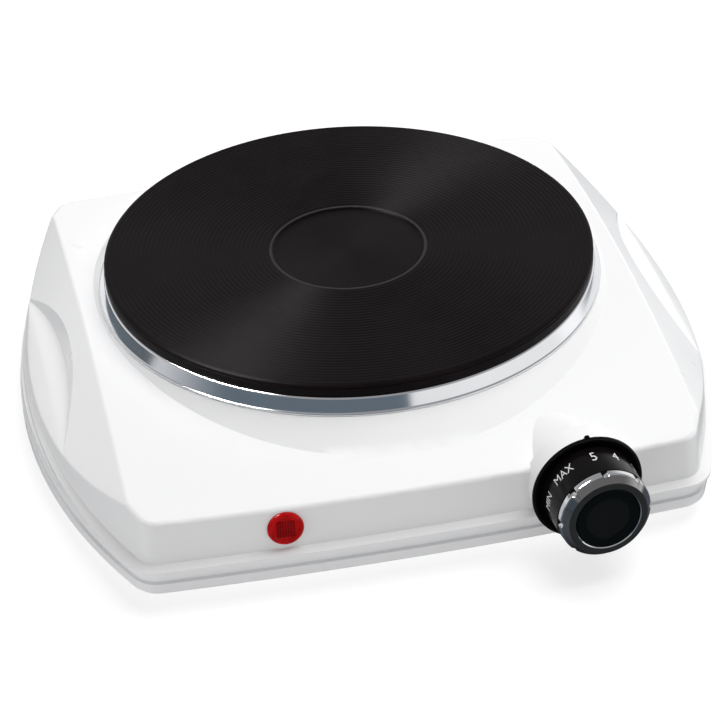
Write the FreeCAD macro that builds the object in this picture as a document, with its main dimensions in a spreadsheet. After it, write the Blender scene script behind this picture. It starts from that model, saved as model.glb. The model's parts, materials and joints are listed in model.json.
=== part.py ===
import FreeCAD, Part
import math
import os

import Sketcher
from FreeCAD import Placement, Rotation, Vector

# Single electric hot plate with a cast-iron cooking plate.
# Frame: +Z up, +Y to the back, millimetres. The origin is the point where the
# plate's vertical axis meets the surface that the feet stand on.

os.makedirs("parts", exist_ok=True)
doc = FreeCAD.newDocument("hot_plate_burner")

DIMENSIONS = [
    # cooking plate and its trim ring
    ("plate_radius", 92.5, "cooking plate, outer radius"),
    ("plate_top", 58.0, "height of the cooking surface"),
    ("rim_height", 5.2, "visible height of the plate's rim"),
    ("recess_radius", 28.8, "round recess in the middle of the plate"),
    ("recess_depth", 0.9, "depth of that recess"),
    ("web_underside", 52.0, "underside of the plate between its ribs"),
    ("rib_bottom", 44.0, "lower edge of the plate's ribs"),
    ("collar_top", 46.5, "seat of the trim ring on the collar"),
    ("trim_radius", 94.8, "lower edge of the trim ring"),
    ("opening_radius", 88.0, "hole in the housing under the plate"),
    # housing
    ("sheet_wall", 1.5, "wall of the upper housing"),
    ("panel_half_width", 103.0, "middle to the edge of the arched panel"),
    ("arch_top", 45.9, "height of the panel at the crown of its arch"),
    ("arch_radius", 610.0, "radius of the panel's arch, seen from the side"),
    ("body_middle", -11.5, "y of the middle of the body, front to back"),
    ("bow_radius", 1500.0, "bow of the front and back walls, seen from above"),
    ("wall_half_depth", 116.0, "body middle to the front wall at its foot"),
    ("wall_half_width", 125.8, "body middle to the side wall at its foot"),
    ("wall_side_radius", 255.0, "bulge of the side walls, seen from above"),
    ("wall_foot", 19.1, "height of the foot of the walls"),
    ("lip_half_depth", 118.7, "body middle to the front edge of the lip"),
    ("lip_half_width", 127.2, "body middle to the side edge of the lip"),
    ("lip_side_radius", 285.0, "bulge of the lip, seen from above"),
    ("lip_top", 17.4, "upper edge of the lip"),
    ("lip_bottom", 16.2, "lower edge of the lip"),
    ("corner_radius", 9.0, "plan radius of the body's corners"),
    # lower shell and feet
    ("tray_half_depth", 116.6, "body middle to the front of the tray"),
    ("tray_half_width", 129.4, "body middle to the side of the tray"),
    ("tray_side_radius", 240.0, "bulge of the tray, seen from above"),
    ("tray_bottom", 6.0, "underside of the tray"),
    ("tray_floor", 7.6, "inside floor of the tray"),
    ("tray_ledge", 11.2, "height of the ledge line around the tray"),
    ("foot_radius", 9.0, "rubber foot"),
    ("foot_x", 88.0, "feet, middle to side"),
    ("foot_reach", 90.0, "feet, body middle to front or back"),
    # knob and thermostat: heights are distances along the knob axis, outwards
    ("knob_x", 56.8, "knob axis, middle to right"),
    ("knob_y", -132.0, "knob axis at the middle of the bezel"),
    ("knob_z", 27.8, "knob axis at the middle of the bezel"),
    ("knob_tilt", 1.0, "upward tilt of the knob axis, degrees"),
    ("knob_yaw", 5.4, "turn of the knob axis towards the right, degrees"),
    ("boss_radius", 19.5, "round boss of the housing behind the bezel"),
    ("bezel_radius", 20.6, "bezel"),
    ("bezel_back", -1.5, "back face of the bezel"),
    ("bezel_front", 0.1, "crest of the bezel's rim"),
    ("skirt_radius", 17.2, "knob skirt at the bezel"),
    ("grip_radius", 16.8, "chrome grip ring"),
    ("grip_back", 14.8, "back edge of the grip ring"),
    ("grip_front", 17.0, "front edge of the grip ring's round wall"),
    ("grip_face_radius", 14.4, "outer edge of the grip ring's front face"),
    ("grip_mouth", 11.9, "opening of the grip ring"),
    ("knob_front", 19.9, "front of the knob"),
    ("shaft_radius", 3.0, "thermostat shaft"),
    ("shaft_clearance", 0.05, "radial clearance of the shaft in its bearing"),
    # lamp
    ("lamp_x", -50.4, "lamp, middle to left"),
    ("lamp_z", 27.2, "height of the lamp"),
    ("lamp_radius", 6.5, "flange of the lens"),
    # cord inlet
    ("inlet_x", -32.0, "cord inlet, middle to left"),
    ("inlet_z", 26.8, "height of the cord inlet"),
    ("inlet_bore", 3.6, "radius of the hole for the cord"),
]

sheet = doc.addObject("Spreadsheet::Sheet", "dimensions")
for row, (alias, number, note) in enumerate(DIMENSIONS, start=1):
    sheet.set("A%d" % row, note)
    sheet.set("B%d" % row, str(number))
    sheet.setAlias("B%d" % row, alias)
doc.recompute()


def size(alias):
    """Value of a driving dimension, read from the sheet."""
    return float(sheet.get(alias))


# ---------------------------------------------------------------- helpers

sub_parts = []


def name_part(piece, label):
    piece.Label = label
    sub_parts.append(piece)
    return piece


def formula(term):
    """A sheet expression: an alias, or an (alias, number or alias to add) pair."""
    if isinstance(term, str):
        return "dimensions." + term
    base, more = term
    if isinstance(more, str):
        return "dimensions.%s + dimensions.%s" % (base, more)
    return "dimensions.%s + (%g)" % (base, more)


def measure(term):
    """The value of a number, an alias or such a pair."""
    if isinstance(term, str):
        return size(term)
    if isinstance(term, tuple):
        return size(term[0]) + measure(term[1])
    return float(term)


def shaped_part(label, shape):
    """A sub-part whose shape is made by Part's functions from the sheet's sizes."""
    piece = doc.addObject("Part::Feature", label)
    piece.Shape = shape
    return name_part(piece, label)


def sketched_body(label, outline, role="XZ_Plane"):
    """A body with one sketch: a closed outline of corners, each term bound to the sheet."""
    body = doc.addObject("PartDesign::Body", label)
    sketch = body.newObject("Sketcher::SketchObject", label + "_outline")
    plane = [f for f in body.Origin.OriginFeatures if f.Role == role][0]
    sketch.AttachmentSupport = [(plane, "")]
    sketch.MapMode = "FlatFace"
    corners = [Vector(measure(a), measure(b), 0) for a, b in outline]
    count = len(corners)
    for i in range(count):
        sketch.addGeometry(Part.LineSegment(corners[i], corners[(i + 1) % count]))
    for i in range(count):
        sketch.addConstraint(Sketcher.Constraint("Coincident", i, 2, (i + 1) % count, 1))
    for i, terms in enumerate(outline):
        for kind, axis, term in (("DistanceX", -2, terms[0]), ("DistanceY", -1, terms[1])):
            if measure(term) == 0:
                sketch.addConstraint(Sketcher.Constraint("PointOnObject", i, 1, axis))
                continue
            index = sketch.addConstraint(Sketcher.Constraint(kind, -1, 1, i, 1, measure(term)))
            if not isinstance(term, (int, float)):
                sketch.setExpression("Constraints[%d]" % index, formula(term))
    return body, sketch


def turned(label, outline, placement=None):
    """A turned piece: an outline of (radius, height) corners, revolved about Z."""
    body, sketch = sketched_body(label, outline)
    turn = body.newObject("PartDesign::Revolution", label + "_turn")
    turn.Profile = sketch
    turn.ReferenceAxis = (sketch, ["V_Axis"])
    turn.Angle = 360.0
    body.Tip = turn
    if placement is not None:
        body.Placement = placement
    return body


def turned_part(label, outline, placement=None):
    return name_part(turned(label, outline, placement), label)


def strip(label, outline, width, placement=None, role="XZ_Plane"):
    """A bent strip or plate: its edge-on outline, padded to its width about the middle."""
    body, sketch = sketched_body(label, outline, role)
    pad = body.newObject("PartDesign::Pad", label + "_pad")
    pad.Profile = sketch
    pad.Length = width
    pad.Midplane = True
    body.Tip = pad
    if placement is not None:
        body.Placement = placement
    return body


def primitive(kind, label, placement=None, **sizes):
    """A Part primitive whose sizes are numbers or sheet terms."""
    piece = doc.addObject("Part::" + kind, label)
    for name, term in sizes.items():
        if isinstance(term, (int, float)):
            setattr(piece, name, term)
        else:
            piece.setExpression(name, formula(term))
    if placement is not None:
        piece.Placement = placement
    return piece


def box_at(label, x0, x1, y0, y1, z0, z1, frame=None):
    corner = Placement(Vector(x0, y0, z0), Rotation())
    placement = corner if frame is None else frame.multiply(corner)
    return primitive("Box", label, placement, Length=x1 - x0, Width=y1 - y0, Height=z1 - z0)


def rod_at(label, radius, x, y, z0, z1, frame=None):
    foot = Placement(Vector(x, y, z0), Rotation())
    placement = foot if frame is None else frame.multiply(foot)
    return primitive("Cylinder", label, placement, Radius=radius, Height=z1 - z0)


def drilled_part(label, base, holes):
    """A piece with holes or slots cut out of it."""
    tool = holes[0]
    if len(holes) > 1:
        tool = doc.addObject("Part::MultiFuse", label + "_holes")
        tool.Shapes = holes
    cut = doc.addObject("Part::Cut", label)
    cut.Base = base
    cut.Tool = tool
    return name_part(cut, label)


def ring_part(label, ring_radius, wire_radius, height):
    """A plain torus."""
    torus = doc.addObject("Part::Torus", label)
    torus.Radius1 = ring_radius
    torus.Radius2 = wire_radius
    torus.Placement = Placement(Vector(0, 0, height), Rotation())
    return name_part(torus, label)


def cylinder(radius, bottom, top, x=0.0, y=0.0):
    return Part.makeCylinder(radius, top - bottom, Vector(x, y, bottom))


def block(x0, x1, y0, y1, z0, z1):
    return Part.makeBox(x1 - x0, y1 - y0, z1 - z0, Vector(x0, y0, z0))


def polygon_face(corners):
    points = [Vector(*corner) for corner in corners]
    return Part.Face(Part.makePolygon(points + points[:1]))


def pan_screw(thread_radius, head_radius, head_height, length):
    """A cross-recessed pan-head screw: seat of the head at z = 0, thread downwards."""
    head = cylinder(head_radius, 0, head_height)
    head = head.makeFillet(head_height * 0.45, [e for e in head.Edges if e.CenterOfMass.z > head_height * 0.9])
    slot = head_radius * 0.6
    recess = block(-slot, slot, -0.4, 0.4, head_height * 0.45, head_height + 1)
    cross = recess.fuse(block(-0.4, 0.4, -slot, slot, head_height * 0.45, head_height + 1))
    tip = Part.makeCone(thread_radius * 0.6, thread_radius, thread_radius, Vector(0, 0, -length))
    thread = cylinder(thread_radius, -length + thread_radius, 0)
    return head.cut(cross).fuse([thread, tip]).removeSplitter()


def placed(shape, placement):
    copy = shape.copy()
    copy.Placement = placement.multiply(copy.Placement)
    return copy


def wire_run(points, radius):
    """An insulated lead: straight runs joined by tangent arcs."""
    corners = [Vector(*p) for p in points]
    edges = []
    start = corners[0]
    for before, corner, after in zip(corners, corners[1:], corners[2:]):
        run_in = (corner - before).normalize()
        run_out = (after - corner).normalize()
        turn = run_in.getAngle(run_out)
        shorter = min((corner - before).Length, (after - corner).Length)
        trim = 0.45 * shorter
        bend = trim / math.tan(turn / 2)
        entry = corner - run_in * trim
        leave = corner + run_out * trim
        inward = (run_out - run_in).normalize()
        middle = corner + inward * (bend / math.cos(turn / 2) - bend)
        edges.append(Part.LineSegment(start, entry).toShape())
        edges.append(Part.Arc(entry, middle, leave).toShape())
        start = leave
    edges.append(Part.LineSegment(start, corners[-1]).toShape())
    path = Part.Wire(edges)
    section = Part.Wire(Part.makeCircle(radius, corners[0], corners[1] - corners[0]))
    return path.makePipeShell([section], True, True)


# ---------------------------------------------------------------- body outlines

BODY_MIDDLE = size("body_middle")
BOW_RADIUS = size("bow_radius")


def body_outline(half_width, side_radius, half_depth, corner, height, inset=0.0):
    """Plan outline: bowed front and back, bulging sides, round corners, as eight arcs."""
    half_width -= inset
    side_radius -= inset
    half_depth -= inset
    bow = BOW_RADIUS - inset
    corner -= inset
    side_x = half_width - side_radius
    bow_y = -half_depth + bow
    # The corner's circle touches both big circles from the inside.
    to_side = side_radius - corner
    to_bow = bow - corner
    apart = math.hypot(side_x, bow_y)
    along = (to_side ** 2 - to_bow ** 2 + apart ** 2) / (2 * apart)
    off = math.sqrt(to_side ** 2 - along ** 2)
    ux, uy = -side_x / apart, bow_y / apart
    cx = side_x + along * ux + off * uy
    cy = along * uy - off * ux
    middle = Vector(cx, cy, 0)
    on_side = middle + (middle - Vector(side_x, 0, 0)).normalize() * corner
    on_bow = middle + (middle - Vector(0, bow_y, 0)).normalize() * corner
    on_corner = middle + ((on_side + on_bow) * 0.5 - middle).normalize() * corner

    def at(point, mirror_x=1, mirror_y=1):
        return Vector(mirror_x * point.x, mirror_y * point.y + BODY_MIDDLE, height)

    front, right = Vector(0, -half_depth, 0), Vector(half_width, 0, 0)
    arcs = [
        (at(on_bow, -1), at(front), at(on_bow)),
        (at(on_bow), at(on_corner), at(on_side)),
        (at(on_side), at(right), at(on_side, 1, -1)),
        (at(on_side, 1, -1), at(on_corner, 1, -1), at(on_bow, 1, -1)),
        (at(on_bow, 1, -1), at(front, 1, -1), at(on_bow, -1, -1)),
        (at(on_bow, -1, -1), at(on_corner, -1, -1), at(on_side, -1, -1)),
        (at(on_side, -1, -1), at(right, -1), at(on_side, -1)),
        (at(on_side, -1), at(on_corner, -1), at(on_bow, -1)),
    ]
    return Part.Wire([Part.Arc(*arc).toShape() for arc in arcs])


def loft(*wires):
    return Part.makeLoft(list(wires), True, True)


WALL_DRAFT = math.tan(math.radians(4.5))
WALL = (size("wall_half_width"), size("wall_side_radius"), size("wall_half_depth"))
LIP = (size("lip_half_width"), size("lip_side_radius"), size("lip_half_depth"))
TRAY = (size("tray_half_width"), size("tray_side_radius"), size("tray_half_depth"))
CORNER = size("corner_radius")
WALL_FOOT = size("wall_foot")
LIP_TOP = size("lip_top")
LIP_BOTTOM = size("lip_bottom")
TALL = 62.0


def wall_prism(inset, bottom, top):
    """The body's drafted walls as one block between two heights."""
    def at(height):
        return body_outline(*WALL, CORNER, height, inset + (height - WALL_FOOT) * WALL_DRAFT)
    return loft(at(bottom), at(top))


# ---------------------------------------------------------------- knob frame

TILT = math.radians(size("knob_tilt"))
YAW = math.radians(size("knob_yaw"))
ACROSS = Vector(math.cos(YAW), math.sin(YAW), 0)
KNOB_AXIS = Vector(math.sin(YAW) * math.cos(TILT), -math.cos(YAW) * math.cos(TILT), math.sin(TILT))
KNOB_CENTRE = Vector(size("knob_x"), size("knob_y"), size("knob_z"))
# Local x is level, local y points up the bezel and local z along the axis, outwards.
KNOB_FRAME = Placement(KNOB_CENTRE, Rotation(ACROSS, KNOB_AXIS.cross(ACROSS), KNOB_AXIS, "ZXY"))


def front_wall_frame(x, height, side=-1):
    """Frame on the outer face of the front (-1) or back (+1) wall: local z points outwards."""
    half_depth = size("wall_half_depth") - (height - WALL_FOOT) * WALL_DRAFT
    y = BODY_MIDDLE + side * (half_depth - BOW_RADIUS + math.sqrt(BOW_RADIUS ** 2 - x ** 2))
    outward = Vector(x / BOW_RADIUS, side, WALL_DRAFT)
    return Placement(Vector(x, y, height), Rotation(Vector(0, 0, 1), outward.normalize()))


# ---------------------------------------------------------------- upper housing

SHEET = size("sheet_wall")
ARCH_TOP = size("arch_top")
ARCH_RADIUS = size("arch_radius")
PANEL = size("panel_half_width")
SIDE_SLOPE = 1.0
SIDE_REACH = 40.0
ARCH_SWING = 15.0
COLLAR_TOP = size("collar_top")
COLLAR_RADIUS = 95.6
COLLAR_SLOPE = 0.64
COLLAR_FOOT_RADIUS = 109.0
SCOOP_RADIUS = 228.0
SCOOP_MIDDLE_Y = -6.0
SCOOP_EDGE_X = 111.3
SCOOP_EDGE_Z = 33.0
SCOOP_FOOT_Z = 18.0
SCOOP_WALL_LEAN = 0.33
BOSS_BACK_Y = -98.5
BOSS_BACK_HALF_WIDTH = 12.0
BOSS_BACK_X = 50.8
BOSS_DEPTH = 9.0
BOSS_FLOOR = 0.8
PASSAGE_HALF = (15.9, 8.3)
EDGE_ROUND = 2.2
SHAFT_HOLE = 4.0
THERMOSTAT_SCREW_X = (-12.0, 12.0)
THERMOSTAT_SCREW_HOLE = 1.6
LAMP_FRAME = front_wall_frame(size("lamp_x"), size("lamp_z"))
LAMP_BODY_RADIUS = 5.0
INLET_FRAME = front_wall_frame(size("inlet_x"), size("inlet_z"), 1)
INLET_BODY_RADIUS = 5.6


def arch_height(y, inset=0.0):
    """Height of the panel's arch at y."""
    return ARCH_TOP - ARCH_RADIUS + math.sqrt((ARCH_RADIUS - inset) ** 2 - (y - BODY_MIDDLE) ** 2)


def arch_swing(face):
    """Sweeps a face in the plane y = body middle about the arch's axis."""
    base = Vector(0, BODY_MIDDLE, ARCH_TOP - ARCH_RADIUS)
    turned = face.copy()
    turned.rotate(base, Vector(1, 0, 0), -ARCH_SWING)
    return turned.revolve(base, Vector(1, 0, 0), 2 * ARCH_SWING)


def roof(inset):
    """Arched panel with a slanted face down each side."""
    top = ARCH_TOP - inset
    half = PANEL - inset * math.tan(math.radians(22.5))
    out = half + SIDE_REACH
    low = top - SIDE_REACH * SIDE_SLOPE
    corners = [(-half, top), (half, top), (out, low), (out, -40), (-out, -40), (-out, low)]
    return arch_swing(polygon_face([(x, BODY_MIDDLE, z) for x, z in corners]))


def left_scoop(inset):
    """Space cut out of the left slanted face for the fingers: a leaning round wall over a curved floor."""
    floor_start = Vector(-104.0, BODY_MIDDLE, 32.2 - inset)
    floor_middle = Vector(-118.5, BODY_MIDDLE, 29.6 - inset)
    floor_end = Vector(-131.0, BODY_MIDDLE, 15.0 - inset)
    over = Vector(-131.0, BODY_MIDDLE, TALL)
    over_start = Vector(-104.0, BODY_MIDDLE, TALL)
    floor_line = Part.Arc(floor_start, floor_middle, floor_end).toShape()
    edges = [floor_line, Part.makeLine(floor_end, over), Part.makeLine(over, over_start),
             Part.makeLine(over_start, floor_start)]
    above_floor = arch_swing(Part.Face(Part.Wire(edges)))
    rise = 50.0
    foot_radius = SCOOP_RADIUS + inset - SCOOP_WALL_LEAN * (SCOOP_EDGE_Z - SCOOP_FOOT_Z)
    wall = Part.makeCone(foot_radius, foot_radius + rise * SCOOP_WALL_LEAN, rise,
                         Vector(-SCOOP_EDGE_X - SCOOP_RADIUS, SCOOP_MIDDLE_Y, SCOOP_FOOT_Z))
    return above_floor.common(wall)


def collar(inset):
    """Sloping ring that carries the plate, highest above the panel at the front."""
    top = COLLAR_TOP - inset
    drop = (COLLAR_FOOT_RADIUS - COLLAR_RADIUS) * COLLAR_SLOPE
    radius = COLLAR_RADIUS - 0.5 * inset
    foot = COLLAR_FOOT_RADIUS - 0.5 * inset
    cone = Part.makeCone(foot, radius, drop, Vector(0, 0, top - drop))
    return cone.fuse(cylinder(foot, LIP_TOP, top - drop))


def knob_boss(inset):
    """Round boss behind the bezel, with a ramp that fades into the panel."""
    radius = size("boss_radius") - inset
    front = size("bezel_back") - inset
    depth = BOSS_DEPTH - 2 * inset
    drum = placed(Part.makeCylinder(radius, depth, Vector(0, 0, front - depth)), KNOB_FRAME)

    def on_front(x, y):
        return KNOB_FRAME.multVec(Vector(x, y, front - 0.05))

    low = -0.35 * radius
    side = math.sqrt(radius ** 2 - low ** 2)
    arch = Part.Arc(on_front(side, low), on_front(0, radius), on_front(-side, low)).toShape()
    front_wire = Part.Wire([arch, Part.makeLine(on_front(-side, low), on_front(side, low))])
    back = BOSS_BACK_HALF_WIDTH - inset
    top = arch_height(BOSS_BACK_Y) - 0.4 - inset
    x = BOSS_BACK_X
    sink = 14.0
    back_arch = Part.Arc(Vector(x + back, BOSS_BACK_Y, top - sink), Vector(x, BOSS_BACK_Y, top),
                         Vector(x - back, BOSS_BACK_Y, top - sink)).toShape()
    back_wire = Part.Wire([back_arch, Part.makeLine(Vector(x - back, BOSS_BACK_Y, top - sink),
                                                    Vector(x + back, BOSS_BACK_Y, top - sink))])
    return drum.fuse(loft(front_wire, back_wire))


def middle_of(edge):
    return edge.valueAt((edge.FirstParameter + edge.LastParameter) / 2)


def rounded_walls(inset, bottom):
    """Roof and walls as one block, with the panel's edges and the side creases rounded."""
    body = roof(inset).common(wall_prism(inset, bottom, TALL)).removeSplitter().Solids[0]
    edges = []
    for edge in body.Edges:
        middle = middle_of(edge)
        on_panel = abs(middle.z - arch_height(middle.y, inset)) < 0.05
        on_crease = abs(middle.x) > PANEL + 1 - inset and WALL_FOOT + 1 < middle.z < ARCH_TOP - 10
        if on_panel or (on_crease and edge.Length > 100):
            edges.append(edge)
    return body.makeFillet(EDGE_ROUND - 0.9 * inset, edges)


def walls_and_collar(inset, bottom):
    """Walls, panel and collar as a solid with its scoops, shrunk by inset, from bottom upwards."""
    body = rounded_walls(inset, bottom).fuse(collar(inset).common(wall_prism(inset, bottom, TALL)))
    body = body.removeSplitter().Solids[0]
    left = left_scoop(inset)
    right = left.mirror(Vector(), Vector(1, 0, 0))
    return body.cut(left).cut(right).Solids[0]


def boss_above(inset, bottom):
    return knob_boss(inset).common(block(-150, 150, -170, 150, bottom, TALL))


def housing_cavity():
    """Space inside the sheet metal, with a way through the front wall for the thermostat."""
    walls = walls_and_collar(SHEET, LIP_BOTTOM - 1)
    half_width, half_height = PASSAGE_HALF
    passage = placed(block(-half_width, half_width, -half_height, half_height, -12.0, -4.5), KNOB_FRAME)
    passage = passage.common(block(0, 120, -150, -100, LIP_BOTTOM + BOSS_FLOOR, TALL))
    return walls.fuse(boss_above(SHEET, LIP_BOTTOM + BOSS_FLOOR)).fuse(passage)


def make_top_housing():
    lip_corner = CORNER + 3
    flare = loft(body_outline(*LIP, lip_corner, LIP_TOP), body_outline(*WALL, CORNER, WALL_FOOT))
    lip = loft(body_outline(*LIP, lip_corner, LIP_BOTTOM), body_outline(*LIP, lip_corner, LIP_TOP))
    outside = walls_and_collar(0.0, WALL_FOOT).fuse(flare).fuse(lip).removeSplitter()
    outside = outside.fuse(boss_above(0.0, LIP_BOTTOM)).removeSplitter()
    shell = outside.cut(housing_cavity())
    shell = shell.cut(cylinder(size("opening_radius"), LIP_BOTTOM, TALL))
    shaft_hole = placed(cylinder(SHAFT_HOLE, -8, 4), KNOB_FRAME)
    screw_holes = [placed(cylinder(THERMOSTAT_SCREW_HOLE, -8, 4, x), KNOB_FRAME) for x in THERMOSTAT_SCREW_X]
    lamp_hole = placed(cylinder(LAMP_BODY_RADIUS + 0.1, -6, 6), LAMP_FRAME)
    inlet_hole = placed(cylinder(INLET_BODY_RADIUS, -6, 6), INLET_FRAME)
    return shell.cut([shaft_hole, lamp_hole, inlet_hole] + screw_holes)


shaped_part("top_housing", make_top_housing())

# ---------------------------------------------------------------- cooking plate and its trim ring

RIBS = ((30.0, 32.0), (56.0, 58.0), (84.0, 86.0))
STUD_RADIUS = 3.0
STUD_HOLE = 3.05
PLATE_BOSS_RADIUS = 10.0
PLATE_BOSS_BOTTOM = 46.0
STUD_TOP = 50.0


def plate_outline():
    """Underside with its centre boss and ribs, then the rim, the top and the recess."""
    web = "web_underside"
    corners = [(0, STUD_TOP + 0.5), (STUD_HOLE, STUD_TOP + 0.5), (STUD_HOLE, PLATE_BOSS_BOTTOM),
               (PLATE_BOSS_RADIUS, PLATE_BOSS_BOTTOM), (PLATE_BOSS_RADIUS, web)]
    for inner, outer in RIBS:
        corners += [(inner, web), (inner, "rib_bottom"), (outer, "rib_bottom"), (outer, web)]
    corners[-1] = (RIBS[-1][1], ("plate_top", -size("rim_height")))
    corners += [(("plate_radius", -0.5), ("plate_top", -size("rim_height"))),
                ("plate_radius", ("plate_top", 0.5 - size("rim_height"))),
                ("plate_radius", ("plate_top", -0.8)), (("plate_radius", -0.25), ("plate_top", -0.25)),
                (("plate_radius", -0.8), "plate_top"), ("recess_radius", "plate_top"),
                (("recess_radius", -0.5), ("plate_top", -size("recess_depth"))),
                (0, ("plate_top", -size("recess_depth")))]
    return corners


turned_part("hot_plate", plate_outline())

RING_LIP_TOP = size("plate_top") - size("rim_height")
turned_part("trim_ring", [
    (87.5, RING_LIP_TOP - 0.8), (91.8, RING_LIP_TOP - 0.8), (("trim_radius", -0.9), 47.1),
    (("trim_radius", -0.9), "collar_top"), (("trim_radius", 0.6), "collar_top"),
    (("trim_radius", 0.6), ("collar_top", 0.8)), (("trim_radius", 0.1), ("collar_top", 1.1)),
    (92.9, RING_LIP_TOP - 0.4), (92.4, RING_LIP_TOP), (87.5, RING_LIP_TOP)])

# ---------------------------------------------------------------- heating elements

COIL_WIRE = 2.2
COIL_HEIGHT = 47.5
SLOT_HALF_WIDTH = 2.5
COMPOUND_BOTTOM = 44.5
COMPOUND_TOP = 51.7
SLOT_TOP = 50.0
RIB_GAP = 0.3


def insulation(label, inner, outer, coil_radius):
    """Ceramic compound between two ribs, with a groove for its coil."""
    slot_in, slot_out = coil_radius - SLOT_HALF_WIDTH, coil_radius + SLOT_HALF_WIDTH
    turned_part(label, [
        (inner, COMPOUND_BOTTOM), (slot_in, COMPOUND_BOTTOM), (slot_in, SLOT_TOP), (slot_out, SLOT_TOP),
        (slot_out, COMPOUND_BOTTOM), (outer, COMPOUND_BOTTOM), (outer, COMPOUND_TOP), (inner, COMPOUND_TOP)])


insulation("insulation_inner", RIBS[0][1] + RIB_GAP, RIBS[1][0] - RIB_GAP, 44.0)
insulation("insulation_outer", RIBS[1][1] + RIB_GAP, RIBS[2][0] - RIB_GAP, 71.0)
ring_part("heater_coil_inner", 44.0, COIL_WIRE, COIL_HEIGHT)
ring_part("heater_coil_outer", 71.0, COIL_WIRE, COIL_HEIGHT)

# ---------------------------------------------------------------- shield, stud and bridge

SHIELD_BOTTOM = 40.0
SHIELD_SHEET = 0.8
BUSH_Y = (38.0, 50.0)
BUSH_HALF_WIDTH = 10.0
shield = turned("heat_shield_dish", [
    (3.6, SHIELD_BOTTOM), (78.0, SHIELD_BOTTOM), (84.0, 43.2), (86.0, 43.2), (86.0, "rib_bottom"),
    (83.6, "rib_bottom"), (77.7, SHIELD_BOTTOM + SHIELD_SHEET), (3.6, SHIELD_BOTTOM + SHIELD_SHEET)])
shield_hole = box_at("heat_shield_hole", -BUSH_HALF_WIDTH - 0.5, BUSH_HALF_WIDTH + 0.5,
                     BUSH_Y[0] - 0.5, BUSH_Y[1] + 0.5, SHIELD_BOTTOM - 1, SHIELD_BOTTOM + 3)
drilled_part("heat_shield", shield, [shield_hole])

BRIDGE_TOP = 36.0
BRIDGE_SHEET = 2.0
BRIDGE_END = COLLAR_TOP - SHEET
bridge_line = [(-94.5, BRIDGE_END), (-89.0, BRIDGE_END), (-84.0, BRIDGE_TOP)]
bridge_outline = bridge_line + [(-x, z) for x, z in reversed(bridge_line)]
bridge_outline += [(-x, z - BRIDGE_SHEET) for x, z in bridge_line]
bridge_outline += [(x, z - BRIDGE_SHEET) for x, z in reversed(bridge_line)]
bridge_bar = strip("retaining_bridge_bar", bridge_outline, 16.0)
bridge_hole = rod_at("retaining_bridge_hole", STUD_RADIUS + 0.2, 0, 0, BRIDGE_TOP - 5, BRIDGE_TOP + 5)
drilled_part("retaining_bridge", bridge_bar, [bridge_hole])

BRIDGE_UNDERSIDE = BRIDGE_TOP - BRIDGE_SHEET
turned_part("plate_stud", [(0, 21.0), (STUD_RADIUS - 0.5, 21.0), (STUD_RADIUS, 21.5),
                           (STUD_RADIUS, STUD_TOP), (0, STUD_TOP)])
turned_part("stud_washer", [(STUD_RADIUS + 0.3, BRIDGE_UNDERSIDE - 1.5), (8.0, BRIDGE_UNDERSIDE - 1.5),
                            (8.0, BRIDGE_UNDERSIDE), (STUD_RADIUS + 0.3, BRIDGE_UNDERSIDE)])
nut_blank = primitive("Prism", "stud_nut_blank", Placement(Vector(0, 0, BRIDGE_UNDERSIDE - 6.5), Rotation()),
                      Polygon=6, Circumradius=5.77, Height=5.0)
nut_bore = rod_at("stud_nut_bore", STUD_RADIUS + 0.02, 0, 0, BRIDGE_UNDERSIDE - 8, BRIDGE_UNDERSIDE)
drilled_part("stud_nut", nut_blank, [nut_bore])

# ---------------------------------------------------------------- plate terminals and thermal cut-out

TAB_WIDTH = 6.3
TAB_SHEET = 0.8
TAB_X = (-6.0, 0.0, 6.0)
TAB_Y = (40.85, 40.85 + TAB_WIDTH)
BUSH_BOTTOM = 34.0
TAB_BOTTOM = 26.0
bush_block = box_at("terminal_bush_block", -BUSH_HALF_WIDTH, BUSH_HALF_WIDTH, *BUSH_Y, BUSH_BOTTOM, COMPOUND_BOTTOM)
bush_slots = [box_at("terminal_bush_slot_%d" % i, x - TAB_SHEET / 2 - 0.05, x + TAB_SHEET / 2 + 0.05,
                     TAB_Y[0] - 0.05, TAB_Y[1] + 0.05, BUSH_BOTTOM - 1, BUSH_BOTTOM + 4)
              for i, x in enumerate(TAB_X, start=1)]
drilled_part("terminal_bush", bush_block, bush_slots)


def tab(x0, y0, z0, z1, frame=None):
    """A flat push-on terminal with a hole near its free (lower) end."""
    blade = block(x0, x0 + TAB_SHEET, y0, y0 + TAB_WIDTH, z0, z1)
    hole = Part.makeCylinder(0.9, TAB_SHEET + 2, Vector(x0 - 1, y0 + TAB_WIDTH / 2, z0 + 2.2), Vector(1, 0, 0))
    shape = blade.cut(hole)
    return shape if frame is None else placed(shape, frame)


shaped_part("plate_terminals", Part.makeCompound(
    [tab(x - TAB_SHEET / 2, TAB_Y[0], TAB_BOTTOM, BUSH_BOTTOM + 3.9) for x in TAB_X]))

CUTOUT = (30.0, -25.0)
CUTOUT_BOTTOM = 34.0
turned_part("thermal_cutout", [
    (0, CUTOUT_BOTTOM), (6.0, CUTOUT_BOTTOM), (6.0, 35.5), (8.0, 35.5), (8.0, 38.6), (7.6, 39.2),
    (7.6, SHIELD_BOTTOM), (0, SHIELD_BOTTOM)], Placement(Vector(CUTOUT[0], CUTOUT[1], 0), Rotation()))
shaped_part("cutout_terminals", Part.makeCompound(
    [tab(CUTOUT[0] + x - TAB_SHEET / 2, CUTOUT[1] - TAB_WIDTH / 2, TAB_BOTTOM, CUTOUT_BOTTOM)
     for x in (-4.0, 4.0)]))

# ---------------------------------------------------------------- thermostat behind the knob

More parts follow.
